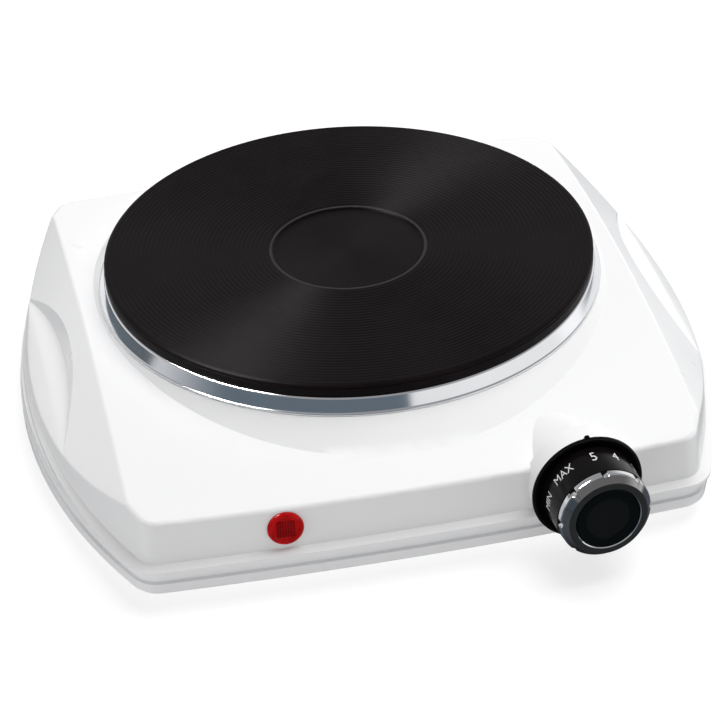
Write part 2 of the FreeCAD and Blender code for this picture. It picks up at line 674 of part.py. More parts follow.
BRACKET_FRONT = size("bezel_back") - SHEET
BRACKET_SHEET = 1.2
THERMOSTAT_FRONT = BRACKET_FRONT - BRACKET_SHEET
THERMOSTAT_BACK = -22.0
THERMOSTAT_HALF = (10.0, 8.0)
SHAFT_BACK = -16.0
bracket_plate = box_at("thermostat_bracket_plate", -16.0, 16.0, -7.0, 7.0, THERMOSTAT_FRONT, BRACKET_FRONT, KNOB_FRAME)
bracket_holes = [rod_at("thermostat_bracket_hole_%d" % i, radius, x, 0, THERMOSTAT_FRONT - 1, BRACKET_FRONT + 1, KNOB_FRAME)
                 for i, (x, radius) in enumerate(((THERMOSTAT_SCREW_X[0], 1.5), (0.0, SHAFT_HOLE),
                                                  (THERMOSTAT_SCREW_X[1], 1.5)), start=1)]
drilled_part("thermostat_bracket", bracket_plate, bracket_holes)

thermostat_block = box_at("thermostat_block", -THERMOSTAT_HALF[0], THERMOSTAT_HALF[0], -THERMOSTAT_HALF[1],
                          THERMOSTAT_HALF[1], THERMOSTAT_BACK, THERMOSTAT_FRONT, KNOB_FRAME)
thermostat_bore = rod_at("thermostat_bore", ("shaft_radius", "shaft_clearance"), 0, 0, SHAFT_BACK - 0.5,
                         THERMOSTAT_FRONT + 1, KNOB_FRAME)
drilled_part("thermostat_body", thermostat_block, [thermostat_bore])

mounting_screw = pan_screw(1.5, 2.8, 1.5, 6.5)
shaped_part("thermostat_screws", Part.makeCompound(
    [placed(mounting_screw, KNOB_FRAME.multiply(Placement(Vector(x, 0, size("bezel_back")), Rotation())))
     for x in THERMOSTAT_SCREW_X]))
THERMOSTAT_TAB_X = (-6.0, 0.0, 6.0)
shaped_part("thermostat_terminals", Part.makeCompound(
    [tab(x - TAB_SHEET / 2, -TAB_WIDTH / 2, THERMOSTAT_BACK - 8.0, THERMOSTAT_BACK, KNOB_FRAME)
     for x in THERMOSTAT_TAB_X]))

BLADE_SHEET = 0.5
blade_line = [(-20.0, 8.0), (-14.0, 8.0), (-12.0, 9.0), (-6.0, 9.0)]
blade_outline = blade_line + [(z, y + BLADE_SHEET) for z, y in reversed(blade_line)]
# The strip's outline runs along the knob axis, so its frame turns local x onto that axis.
AXIS_FRAME = KNOB_FRAME.multiply(Placement(Vector(0, 0, 0), Rotation(Vector(0, 0, 1), Vector(0, 1, 0),
                                                                    Vector(-1, 0, 0), "XYZ")))
blade = strip("contact_blade", blade_outline, 6.0, AXIS_FRAME, "XY_Plane")
name_part(blade, "contact_blade")

FLAT_Y = 1.9
FLAT_BACK = 3.0
SHAFT_FRONT = 15.0
shaft_rod = primitive("Cylinder", "thermostat_shaft_rod",
                      KNOB_FRAME.multiply(Placement(Vector(0, 0, SHAFT_BACK), Rotation())),
                      Radius="shaft_radius", Height=SHAFT_FRONT - SHAFT_BACK)
shaft_flat = box_at("thermostat_shaft_flat", -4.0, 4.0, FLAT_Y, 5.0, FLAT_BACK, SHAFT_FRONT + 1, KNOB_FRAME)
drilled_part("thermostat_shaft", shaft_rod, [shaft_flat])

# ---------------------------------------------------------------- bezel and knob

BEZEL_WEB_BACK = 0.2
BEZEL_WEB_FRONT = 1.2
BEZEL_HOLE = 6.0
BEZEL_SHOULDER = 15.0
DISH_BOTTOM = -0.9
DISH_START = 17.4


def make_bezel():
    """A dial ring with a raised web over the screws, a dish round it and a small pointer at its top."""
    back, crest = size("bezel_back"), size("bezel_front")
    rim = size("bezel_radius")
    outline = [(BEZEL_HOLE, BEZEL_WEB_BACK), (BEZEL_SHOULDER, BEZEL_WEB_BACK), (BEZEL_SHOULDER, back),
               (rim - 0.4, back), (rim, back + 0.4), (rim, crest - 0.5), (rim - 0.5, crest),
               (rim - 1.2, crest), (DISH_START, DISH_BOTTOM), (BEZEL_SHOULDER + 0.2, DISH_BOTTOM),
               (BEZEL_SHOULDER + 0.2, BEZEL_WEB_FRONT - 0.2), (BEZEL_SHOULDER, BEZEL_WEB_FRONT),
               (BEZEL_HOLE, BEZEL_WEB_FRONT)]
    ring = polygon_face([(r, 0, z) for r, z in outline]).revolve(Vector(), Vector(0, 0, 1), 360)
    pointer = polygon_face([(-1.3, rim - 0.3, back + 0.3), (1.3, rim - 0.3, back + 0.3),
                            (0.7, rim + 1.0, back + 0.3), (-0.7, rim + 1.0, back + 0.3)])
    return ring.fuse(pointer.extrude(Vector(0, 0, crest - back - 0.5))).removeSplitter()


bezel = shaped_part("knob_bezel", make_bezel())
bezel.Placement = KNOB_FRAME

SKIRT_BACK = -0.5
SKIRT_WALL = 1.6
NOSE_RADIUS = 13.0
NOSE_WALL = 2.4
NOSE_FRONT = 18.7
HUB_RADIUS = 5.5
HUB_BACK = 1.6
WEB_BACK = 10.0
WEB_FRONT = 12.0
HUB_FRONT = 16.5
HUB_FLAT_Y = 2.75
NOTCH_COUNT = 8


def make_knob_body():
    """Skirt with the dial, a shoulder for the grip ring, and a hub with a D-shaped bore."""
    skirt, grip = size("skirt_radius"), size("grip_radius")
    shoulder = size("grip_back") - 0.1
    mouth = NOSE_RADIUS - NOSE_WALL
    outline = [(skirt - SKIRT_WALL, SKIRT_BACK), (skirt - 0.2, SKIRT_BACK), (skirt, SKIRT_BACK + 0.2),
               (grip + 0.1, shoulder - 0.3), (grip - 0.2, shoulder), (NOSE_RADIUS, shoulder),
               (NOSE_RADIUS, NOSE_FRONT), (mouth, NOSE_FRONT), (mouth, WEB_FRONT), (HUB_RADIUS, WEB_FRONT),
               (HUB_RADIUS, HUB_FRONT), (0, HUB_FRONT), (0, HUB_BACK), (HUB_RADIUS, HUB_BACK),
               (HUB_RADIUS, WEB_BACK), (skirt - SKIRT_WALL, WEB_BACK)]
    shell = polygon_face([(r, 0, z) for r, z in outline]).revolve(Vector(), Vector(0, 0, 1), 360)
    bore = cylinder(size("shaft_radius") + size("shaft_clearance"), HUB_BACK - 1, SHAFT_FRONT + 0.2)
    return shell.cut(bore.cut(block(-4, 4, HUB_FLAT_Y, 5, FLAT_BACK + 0.2, SHAFT_FRONT + 1)))


knob_body = shaped_part("knob_body", make_knob_body())
knob_body.Placement = KNOB_FRAME


def make_grip_ring():
    """The chrome grip ring: a body turned about the knob axis, with notches round its rim."""
    body, sketch = sketched_body("knob_ring", [
        (NOSE_RADIUS + 0.1, "grip_back"), ("grip_radius", "grip_back"), ("grip_radius", "grip_front"),
        (("grip_radius", -0.4), ("grip_front", 0.5)), ("grip_face_radius", ("knob_front", -0.1)),
        (("grip_face_radius", -0.4), "knob_front"), ("grip_mouth", "knob_front"),
        ("grip_mouth", NOSE_FRONT + 0.2), (NOSE_RADIUS + 0.1, NOSE_FRONT + 0.2)])
    turn = body.newObject("PartDesign::Revolution", "knob_ring_turn")
    turn.Profile = sketch
    turn.ReferenceAxis = (sketch, ["V_Axis"])
    turn.Angle = 360.0
    doc.recompute()
    whole = turn.Shape.Volume
    notch = body.newObject("Sketcher::SketchObject", "knob_ring_notch")
    plane = [f for f in body.Origin.OriginFeatures if f.Role == "XY_Plane"][0]
    notch.AttachmentSupport = [(plane, "")]
    notch.MapMode = "FlatFace"
    notch.addGeometry(Part.Circle(Vector(size("grip_radius") + 0.7, 0, 0), Vector(0, 0, 1), 1.5))
    pocket = body.newObject("PartDesign::Pocket", "knob_ring_pocket")
    pocket.Profile = notch
    pocket.Type = 1
    pocket.Reversed = True
    doc.recompute()
    if pocket.Shape.Volume >= whole:
        pocket.Reversed = False
        doc.recompute()
    around = body.newObject("PartDesign::PolarPattern", "knob_ring_pattern")
    around.Originals = [pocket]
    around.Axis = (notch, ["N_Axis"])
    around.Angle = 360.0
    around.Occurrences = NOTCH_COUNT
    body.Tip = around
    doc.recompute()
    if around.Shape.Volume >= pocket.Shape.Volume:
        raise RuntimeError("the notches were not cut")
    body.Placement = KNOB_FRAME
    return name_part(body, "knob_ring")


make_grip_ring()
CAP_DISC = 8.0
turned_part("knob_cap", [(0, NOSE_FRONT), (("grip_mouth", -0.2), NOSE_FRONT), (("grip_mouth", -0.2), ("knob_front", -0.6)),
                         (("grip_mouth", -0.6), ("knob_front", -0.3)), (CAP_DISC + 0.3, ("knob_front", -0.3)),
                         (CAP_DISC, ("knob_front", -0.5)), (0, ("knob_front", -0.5))], KNOB_FRAME)
CLIP_SHEET = 0.5
clip_line = [(4.0, 2.0), (13.5, 2.0), (14.5, 2.1)]
clip_outline = clip_line + [(z, y + CLIP_SHEET) for z, y in reversed(clip_line)]
clip = strip("knob_clip", clip_outline, 2.8, AXIS_FRAME, "XY_Plane")
name_part(clip, "knob_clip")

# ---------------------------------------------------------------- indicator lamp

LENS_FLANGE = 1.6
LENS_BACK = -9.0
turned_part("lamp_lens", [
    (0, LENS_FLANGE), (("lamp_radius", -1.2), LENS_FLANGE), (("lamp_radius", -0.3), 1.1), ("lamp_radius", 0.4),
    ("lamp_radius", 0.05), (LAMP_BODY_RADIUS, 0.05), (LAMP_BODY_RADIUS, LENS_BACK), (3.8, LENS_BACK), (3.8, -1.0),
    (0, -1.0)], LAMP_FRAME)
turned_part("lamp_clip", [(LAMP_BODY_RADIUS + 0.1, -4.2), (5.8, -4.2), (6.4, -1.7), (LAMP_BODY_RADIUS + 0.1, -1.7)],
            LAMP_FRAME)
LAMP_BACK = -26.0
turned_part("lamp_body", [(0, LAMP_BACK), (4.0, LAMP_BACK), (4.4, LAMP_BACK + 0.6), (4.4, LENS_BACK - 0.1),
                          (3.2, LENS_BACK - 0.1), (3.2, -4.0), (2.2, -2.2), (0, -2.0)], LAMP_FRAME)

# ---------------------------------------------------------------- cord inlet

turned_part("cord_gland", [
    ("inlet_bore", -7.0), (5.9, -7.0), (6.4, -1.65), (INLET_BODY_RADIUS - 0.1, -1.65), (INLET_BODY_RADIUS - 0.1, 0.05),
    (7.3, 0.05), (7.3, 1.8), (6.6, 2.6), (5.4, 3.2), (5.2, 6.5), ("inlet_bore", 6.5)], INLET_FRAME)
CLAMP_Y = (84.0, 92.0)
CLAMP_SEAT = 24.0
CLAMP_SHEET = 1.6
CLAMP_REACH = 8.0
CLAMP_HALF_WIDTH = 12.0
INLET_X = size("inlet_x")


def make_clamp():
    """Saddle for the cord between two screws."""
    middle = Vector(INLET_X, CLAMP_Y[0], CLAMP_SEAT)
    depth = CLAMP_Y[1] - CLAMP_Y[0]
    bar = block(INLET_X - CLAMP_HALF_WIDTH, INLET_X + CLAMP_HALF_WIDTH, *CLAMP_Y, CLAMP_SEAT, CLAMP_SEAT + CLAMP_SHEET)
    arch = Part.makeCylinder(5.2, depth, middle, Vector(0, 1, 0))
    arch = arch.common(block(-150, 0, *CLAMP_Y, CLAMP_SEAT, CLAMP_SEAT + 20))
    space = Part.makeCylinder(size("inlet_bore"), depth, middle, Vector(0, 1, 0))
    holes = [cylinder(1.7, CLAMP_SEAT - 1, CLAMP_SEAT + 5, INLET_X + side * CLAMP_REACH, sum(CLAMP_Y) / 2)
             for side in (-1, 1)]
    return bar.fuse(arch).cut([space] + holes).removeSplitter()


shaped_part("cord_clamp", make_clamp())
clamp_screw = pan_screw(1.3, 2.5, 1.8, 9.0)
clamp_screws = []
for side in (-1, 1):
    screw = clamp_screw.copy()
    screw.translate(Vector(INLET_X + side * CLAMP_REACH, sum(CLAMP_Y) / 2, CLAMP_SEAT + CLAMP_SHEET))
    clamp_screws.append(screw)
shaped_part("cord_clamp_screws", Part.makeCompound(clamp_screws))

# ---------------------------------------------------------------- terminal block and earth screw

TRAY_FLOOR = size("tray_floor")
TERMINAL_X = (-70.0, -60.0, -50.0)
TERMINAL_Y = (56.0, 72.0)
TERMINAL_TOP = TRAY_FLOOR + 12.0
WIRE_RADIUS = 1.2
WIRE_Z = TRAY_FLOOR + 5.0
ENTRY_DEPTH = 5.0


def make_terminal_block():
    """Three screw terminals in a moulded block, open at the front and at the back."""
    body = block(TERMINAL_X[0] - 5, TERMINAL_X[-1] + 5, *TERMINAL_Y, TRAY_FLOOR, TERMINAL_TOP)
    cuts = []
    for x in TERMINAL_X:
        for y in (TERMINAL_Y[0] - 1, TERMINAL_Y[1] - ENTRY_DEPTH):
            cuts.append(Part.makeCylinder(1.7, ENTRY_DEPTH + 1, Vector(x, y, WIRE_Z), Vector(0, 1, 0)))
        cuts.append(cylinder(1.6, TERMINAL_TOP - 4.5, TERMINAL_TOP + 1, x, sum(TERMINAL_Y) / 2))
    for x in (TERMINAL_X[0] + 5, TERMINAL_X[1] + 5):
        cuts.append(block(x - 0.6, x + 0.6, TERMINAL_Y[0] - 1, TERMINAL_Y[1] + 1, TERMINAL_TOP - 3, TERMINAL_TOP + 1))
    return body.cut(cuts)


shaped_part("terminal_block", make_terminal_block())
terminal_screws = []
for x in TERMINAL_X:
    screw = cylinder(1.5, TERMINAL_TOP - 4.5, TERMINAL_TOP - 0.5, x, sum(TERMINAL_Y) / 2)
    slot = block(x - 1.6, x + 1.6, sum(TERMINAL_Y) / 2 - 0.3, sum(TERMINAL_Y) / 2 + 0.3, TERMINAL_TOP - 1.3, TERMINAL_TOP)
    terminal_screws.append(screw.cut(slot))
shaped_part("terminal_screws", Part.makeCompound(terminal_screws))

EARTH = (-88.0, 40.0)
EARTH_SEAT = 10.6
LUG_SHEET = 0.8
lug_ring = rod_at("earth_lug_ring", 4.0, *EARTH, EARTH_SEAT, EARTH_SEAT + LUG_SHEET)
lug_tongue = box_at("earth_lug_tongue", EARTH[0], EARTH[0] + 9.0, EARTH[1] - 1.6, EARTH[1] + 1.6, EARTH_SEAT,
                    EARTH_SEAT + LUG_SHEET)
lug_blank = doc.addObject("Part::MultiFuse", "earth_lug_blank")
lug_blank.Shapes = [lug_ring, lug_tongue]
lug_hole = rod_at("earth_lug_hole", 2.1, *EARTH, EARTH_SEAT - 1, EARTH_SEAT + 2)
drilled_part("earth_lug", lug_blank, [lug_hole])
earth_screw = pan_screw(1.9, 3.6, 2.2, 3.4)
earth_screw.translate(Vector(EARTH[0], EARTH[1], EARTH_SEAT + LUG_SHEET))
shaped_part("earth_screw", earth_screw)

# ---------------------------------------------------------------- tray, posts, screws and feet

POSTS = [(side * 100.0, y) for side in (-1, 1) for y in (-70.0, 50.0)]
FEET = {"foot_%s_%s" % (end, hand): (side * size("foot_x"), BODY_MIDDLE + reach * size("foot_reach"))
        for end, reach in (("front", -1), ("back", 1)) for hand, side in (("left", -1), ("right", 1))}
TRAY_BOTTOM = size("tray_bottom")
TRAY_LEDGE = size("tray_ledge")
LEDGE_STEP = 0.9
LEDGE_CHAMFER = 0.6
TRAY_WALL = 2.4
TRAY_EDGE = 1.0
POST_FOOT = 10.6
SCREW_SEAT = 9.0
FOOT_NECK = 3.5
VENT_X = [12.0 * i for i in range(-3, 4)]
VENT_HALF_LENGTH = 22.0
VENT_HALF_WIDTH = 2.0


def vent(x):
    y0, y1 = BODY_MIDDLE - VENT_HALF_LENGTH, BODY_MIDDLE + VENT_HALF_LENGTH
    slot = block(x - VENT_HALF_WIDTH, x + VENT_HALF_WIDTH, y0, y1, TRAY_BOTTOM - 1, TRAY_FLOOR + 1)
    ends = [cylinder(VENT_HALF_WIDTH, TRAY_BOTTOM - 1, TRAY_FLOOR + 1, x, y) for y in (y0, y1)]
    return slot.fuse(ends).removeSplitter()


def make_base_tray():
    """Shallow tray with a ledge line round it, vents, screw bosses and cord-clamp pillars."""
    def outline(height, inset):
        return body_outline(*TRAY, CORNER + 2, height, inset)
    outside = loft(outline(TRAY_BOTTOM, TRAY_EDGE), outline(TRAY_BOTTOM + TRAY_EDGE, 0))
    outside = outside.fuse([
        loft(outline(TRAY_BOTTOM + TRAY_EDGE, 0), outline(TRAY_LEDGE - LEDGE_CHAMFER, 0)),
        loft(outline(TRAY_LEDGE - LEDGE_CHAMFER, 0), outline(TRAY_LEDGE, LEDGE_STEP)),
        loft(outline(TRAY_LEDGE, LEDGE_STEP), outline(LIP_BOTTOM, LEDGE_STEP))]).removeSplitter()
    inset = LEDGE_STEP + TRAY_WALL
    tray = outside.cut(loft(outline(TRAY_FLOOR, inset), outline(LIP_BOTTOM + 1, inset)))
    pillars = [cylinder(3.2, TRAY_BOTTOM + 0.5, CLAMP_SEAT, INLET_X + side * CLAMP_REACH, sum(CLAMP_Y) / 2)
               for side in (-1, 1)]
    bosses = [cylinder(6.0, TRAY_BOTTOM + 0.5, POST_FOOT, x, y) for x, y in POSTS]
    earth_boss = cylinder(5.0, TRAY_BOTTOM + 0.5, EARTH_SEAT, *EARTH)
    tray = tray.fuse(pillars + bosses + [earth_boss])
    cuts = [vent(x) for x in VENT_X]
    cuts += [cylinder(3.7, TRAY_BOTTOM - 1, SCREW_SEAT, x, y) for x, y in POSTS]
    cuts += [cylinder(1.8, TRAY_BOTTOM - 1, POST_FOOT + 1, x, y) for x, y in POSTS]
    cuts += [cylinder(FOOT_NECK + 0.05, TRAY_BOTTOM - 1, TRAY_FLOOR + 1, x, y) for x, y in FEET.values()]
    cuts += [cylinder(1.32, CLAMP_SEAT - 9.0, CLAMP_SEAT + 1, INLET_X + side * CLAMP_REACH, sum(CLAMP_Y) / 2)
             for side in (-1, 1)]
    cuts.append(cylinder(1.92, EARTH_SEAT - 3.0, EARTH_SEAT + 1, *EARTH))
    return tray.cut(cuts).removeSplitter()


shaped_part("base_tray", make_base_tray())

POST_RADIUS = 4.0
post_space = housing_cavity().fuse(block(-110, 110, -110, 90, POST_FOOT, LIP_BOTTOM))
posts = []
for x, y in POSTS:
    post = cylinder(POST_RADIUS, POST_FOOT, TALL, x, y).common(post_space)
    posts.append(post.cut(cylinder(1.55, POST_FOOT - 1, POST_FOOT + 16, x, y)).removeSplitter().Solids[0])
shaped_part("fixing_posts", Part.makeCompound(posts))
base_screw = pan_screw(1.5, 3.0, 1.8, 13.0)
base_screw.rotate(Vector(), Vector(1, 0, 0), 180)
base_screws = []
for x, y in POSTS:
    screw = base_screw.copy()
    screw.translate(Vector(x, y, SCREW_SEAT))
    base_screws.append(screw)
shaped_part("base_screws", Part.makeCompound(base_screws))

for label, (x, y) in FEET.items():
    turned_part(label, [
        (0, 0), (("foot_radius", -1.0), 0), (("foot_radius", -0.6), 0.5), ("foot_radius", "tray_bottom"),
        (FOOT_NECK, "tray_bottom"), (FOOT_NECK, "tray_floor"), (5.2, "tray_floor"), (4.6, ("tray_floor", 1.4)),
        (3.2, ("tray_floor", 2.4)), (0, ("tray_floor", 2.4))], Placement(Vector(x, y, 0), Rotation()))

# ---------------------------------------------------------------- wiring

LEAD_RADIUS = 0.8
TERMINAL_ENTRY = TERMINAL_Y[0] + ENTRY_DEPTH - 0.5
TAB_MIDDLE_Y = TAB_Y[0] + TAB_WIDTH / 2
TAB_GAP = 0.6


def thermostat_tab_end(index):
    end = KNOB_FRAME.multVec(Vector(THERMOSTAT_TAB_X[index], 0, THERMOSTAT_BACK - 8.0 - TAB_GAP))
    return (end.x, end.y, end.z)


def lamp_lead_start(side):
    start = LAMP_FRAME.multVec(Vector(side * 1.6, 0, LAMP_BACK - 0.25))
    return (start.x, start.y, start.z)


live_end = thermostat_tab_end(0)
lamp_end = thermostat_tab_end(1)
switched_end = thermostat_tab_end(2)
WIRES = {
    "wire_live": [
        (TERMINAL_X[1], TERMINAL_ENTRY, WIRE_Z), (TERMINAL_X[1], 45, 12), (-64, 20, 9.6), (-65, -28, 9.4),
        (-54, -66, 9.4), (-22, -90, 9.4), (18, -84, 9.6), (42, -76, 12), (51, -80, 16.5),
        (live_end[0], -91, 20.5), live_end],
    "wire_switched": [
        switched_end, (switched_end[0], -91, 20.5), (62, -72, 14), (54, -54, 11), (42, -38, 11),
        (35.5, -28, 14), (CUTOUT[0] + 4, CUTOUT[1], 19), (CUTOUT[0] + 4, CUTOUT[1], TAB_BOTTOM)],
    "wire_cutout": [
        (CUTOUT[0] - 4, CUTOUT[1], TAB_BOTTOM), (CUTOUT[0] - 4, CUTOUT[1], 18.5), (23, -18, 13), (15, 2, 11),
        (9, 24, 12), (6.6, 37, 14.5), (TAB_X[2], TAB_MIDDLE_Y, 19.5), (TAB_X[2], TAB_MIDDLE_Y, TAB_BOTTOM)],
    "wire_neutral": [
        (TERMINAL_X[2], TERMINAL_ENTRY, WIRE_Z), (TERMINAL_X[2], 46, 12), (-42, 31, 11), (-26, 24, 11),
        (-12, 32, 12.5), (-6.8, 41, 16), (TAB_X[0], TAB_MIDDLE_Y, 20.5), (TAB_X[0], TAB_MIDDLE_Y, TAB_BOTTOM)],
    "wire_earth": [
        (TERMINAL_X[0], TERMINAL_ENTRY, WIRE_Z), (TERMINAL_X[0], 50, 12.4), (-71, 43.5, 11.4),
        (-74, 40.3, 11), (EARTH[0] + 9.0, EARTH[1], 11)],
}
LAMP_LEADS = [
    [lamp_lead_start(-1), (-52, -89, 23), (-46, -66, 15), (-26, -30, 12.5), (-8, 8, 12), (-1.6, 32, 13.5),
     (TAB_X[1], 42.5, 18.5), (TAB_X[1], TAB_MIDDLE_Y, TAB_BOTTOM)],
    [lamp_lead_start(1), (-48.6, -90, 22), (-37, -78, 15.5), (-10, -83, 13.5), (25, -91, 13), (46, -87, 13.5),
     (56, -86, 16), (lamp_end[0], -92, 20.2), lamp_end],
]
for label, route in WIRES.items():
    shaped_part(label, wire_run(route, WIRE_RADIUS))
shaped_part("lamp_leads", Part.makeCompound([wire_run(route, LEAD_RADIUS) for route in LAMP_LEADS]))


# ---------------------------------------------------------------- checks and export

doc.recompute()
for piece in doc.Objects:
    if "Invalid" in piece.State or "Error" in piece.State:
        raise RuntimeError("%s didn't compute: %s" % (piece.Label, piece.State))
for piece in sub_parts:
    if piece.Shape.isNull() or not piece.Shape.isValid():
        raise RuntimeError("%s has a bad shape" % piece.Label)
    piece.Shape.exportStep("parts/%s.step" % piece.Label)
print("%d sub-parts written" % len(sub_parts))
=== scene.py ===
"""Looks of a cast-iron hot plate on a white enamelled housing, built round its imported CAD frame."""
import json
import math

import bmesh
import bpy
from mathutils import Matrix, Vector


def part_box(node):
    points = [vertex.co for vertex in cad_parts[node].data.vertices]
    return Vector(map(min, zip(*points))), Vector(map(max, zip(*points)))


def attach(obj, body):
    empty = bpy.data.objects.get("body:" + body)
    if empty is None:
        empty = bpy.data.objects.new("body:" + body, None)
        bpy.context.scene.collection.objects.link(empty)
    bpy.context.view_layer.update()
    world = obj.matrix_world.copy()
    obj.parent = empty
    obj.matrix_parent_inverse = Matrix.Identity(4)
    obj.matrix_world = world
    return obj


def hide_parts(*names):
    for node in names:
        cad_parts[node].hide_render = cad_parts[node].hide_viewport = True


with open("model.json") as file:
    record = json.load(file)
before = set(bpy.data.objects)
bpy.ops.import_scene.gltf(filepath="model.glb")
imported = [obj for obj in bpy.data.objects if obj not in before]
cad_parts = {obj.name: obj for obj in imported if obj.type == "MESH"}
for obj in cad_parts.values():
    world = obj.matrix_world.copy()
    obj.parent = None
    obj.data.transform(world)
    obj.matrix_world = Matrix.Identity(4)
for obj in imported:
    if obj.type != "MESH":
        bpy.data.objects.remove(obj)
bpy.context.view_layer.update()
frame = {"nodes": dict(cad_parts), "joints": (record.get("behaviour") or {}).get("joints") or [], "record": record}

MM = 0.001
scene = bpy.context.scene
SLOT_OF = {row["node"]: row["material_slot"] for row in frame["record"]["subparts"]}
NOISE_REACH = (0.1, 0.9)    # lowest and highest value that the noise textures give
RAMP_ENDS = ("From Min", "From Max", "To Min", "To Max")


# ---------------------------------------------------------------- materials

class Shader:
    """A Principled material with a few ways to drive its sockets from noise in object space."""

    def __init__(self, name, colour, roughness, metallic=0.0, **inputs):
        self.material = bpy.data.materials.new(name)
        self.material.use_nodes = True
        self.nodes = self.material.node_tree.nodes
        self.links = self.material.node_tree.links
        self.main = self.nodes["Principled BSDF"]
        self.colour = colour
        self.set("Base Color", (*colour, 1.0))
        self.set("Roughness", roughness)
        self.set("Metallic", metallic)
        for key, value in inputs.items():
            self.set(key.replace("_", " "), value)
        self.coordinates = self.nodes.new("ShaderNodeTexCoord").outputs["Object"]
        self.last_normal = None

    def set(self, socket, value):
        self.main.inputs[socket].default_value = value

    def stretched(self, scale):
        mapping = self.nodes.new("ShaderNodeMapping")
        mapping.inputs["Scale"].default_value = scale
        self.links.new(self.coordinates, mapping.inputs["Vector"])
        return mapping.outputs["Vector"]

    def noise(self, scale, detail=4.0, stretch=None, rough=0.55):
        node = self.nodes.new("ShaderNodeTexNoise")
        node.inputs["Scale"].default_value = scale
        node.inputs["Detail"].default_value = detail
        node.inputs["Roughness"].default_value = rough
        self.links.new(self.stretched(stretch) if stretch else self.coordinates, node.inputs["Vector"])
        return node.outputs["Fac"]

    def ramp(self, source, low, high, from_low=0.3, from_high=0.7):
        node = self.nodes.new("ShaderNodeMapRange")
        for socket, value in zip(RAMP_ENDS, (from_low, from_high, low, high)):
            node.inputs[socket].default_value = value
        self.links.new(source, node.inputs["Value"])
        return node.outputs["Result"]

    def colours(self, source, dark, light, at=(0.35, 0.65)):
        node = self.nodes.new("ShaderNodeValToRGB")
        node.color_ramp.elements[0].position, node.color_ramp.elements[1].position = at
        node.color_ramp.elements[0].color = (*dark, 1.0)
        node.color_ramp.elements[1].color = (*light, 1.0)
        self.links.new(source, node.inputs["Fac"])
        self.links.new(node.outputs["Color"], self.main.inputs["Base Color"])
        return self

    def vary_colour(self, scale, amount, **noise):
        light = tuple(min(1.0, c * (1 + amount)) for c in self.colour)
        dark = tuple(c * (1 - amount) for c in self.colour)
        return self.colours(self.noise(scale, **noise), dark, light)

    def vary_roughness(self, scale, low, high, **noise):
        shade = self.ramp(self.noise(scale, **noise), low, high, *NOISE_REACH)
        self.links.new(shade, self.main.inputs["Roughness"])
        return self

    def bump(self, source, strength, distance):
        node = self.nodes.new("ShaderNodeBump")
        node.inputs["Strength"].default_value = strength
        node.inputs["Distance"].default_value = distance
        self.links.new(source, node.inputs["Height"])
        if self.last_normal:
            self.links.new(self.last_normal, node.inputs["Normal"])
        self.last_normal = node.outputs["Normal"]
        self.links.new(self.last_normal, self.main.inputs["Normal"])
        return self

    def turned_grain(self, amount):
        """Anisotropy that follows circles about the object's own z axis through its origin."""
        self.set("Anisotropic", amount)
        self.set("Anisotropic Rotation", 0.25)
        tangent = self.nodes.new("ShaderNodeTangent")
        tangent.direction_type = "RADIAL"
        tangent.axis = "Z"
        self.links.new(tangent.outputs["Tangent"], self.main.inputs["Tangent"])
        return self


def enamel(name, colour):
    shader = Shader(name, colour, 0.3, Coat_Weight=0.25, Coat_Roughness=0.12, Specular_IOR_Level=0.35)
    shader.colours(shader.noise(14.0, detail=2.0), tuple(0.988 * c for c in colour), colour, NOISE_REACH)
    shader.vary_roughness(60.0, 0.24, 0.40, detail=2.0)
    shader.bump(shader.noise(300.0, detail=1.0), 0.02, 0.0002)
    return shader.material


def iron(name, grain, low):
    """Black coated iron, from its turned grain and its lowest roughness."""
    shader = Shader(name, (0.0045, 0.0030, 0.0036), low, Specular_IOR_Level=0.07)
    shader.colours(shader.noise(26.0, detail=6.0), (0.0036, 0.0024, 0.0029), (0.0058, 0.0040, 0.0047))
    shader.vary_roughness(90.0, low, low + 0.14, detail=5.0)
    shader.bump(shader.noise(1500.0, detail=4.0), 0.25, 0.00006)
    shader.turned_grain(grain)
    return shader.material


def polished_steel():
    shader = Shader("bright_steel", (0.80, 0.81, 0.83), 0.09, 1.0)
    shader.vary_colour(30.0, 0.02)
    shader.vary_roughness(120.0, 0.07, 0.13)
    shader.bump(shader.noise(900.0, detail=2.0, stretch=(1, 1, 30)), 0.02, 0.00005)
    return shader.material


def plastic(name, colour, low, high, grain=900.0, strength=0.08, **inputs):
    shader = Shader(name, colour, low, **inputs)
    shader.vary_colour(45.0, 0.08)
    shader.vary_roughness(160.0, low, high)
    shader.bump(shader.noise(grain, detail=3.0), strength, 0.00008)
    return shader.material


def metal(name, colour, low, high, stretch=(1, 1, 12), strength=0.12):
    shader = Shader(name, colour, low, 1.0)
    shader.vary_colour(70.0, 0.06)
    shader.vary_roughness(240.0, low, high, stretch=stretch)
    shader.bump(shader.noise(700.0, detail=4.0, stretch=stretch), strength, 0.00006)
    return shader.material


def mineral(name, colour):
    shader = Shader(name, colour, 0.85)
    shader.vary_colour(120.0, 0.1, detail=8.0)
    shader.vary_roughness(200.0, 0.75, 0.95)
    shader.bump(shader.noise(800.0, detail=8.0), 0.4, 0.0002)
    return shader.material


def red_lens():
    shader = Shader("red_lens", (0.30, 0.002, 0.003), 0.12, Coat_Weight=0.12, Coat_Roughness=0.05,
                    Specular_IOR_Level=0.10)
    shader.colours(shader.noise(260.0, detail=2.0), (0.36, 0.0015, 0.002), (0.50, 0.004, 0.005))
    shader.vary_roughness(300.0, 0.1, 0.2)
    shader.bump(shader.noise(900.0, detail=2.0), 0.04, 0.00005)
    return shader.material


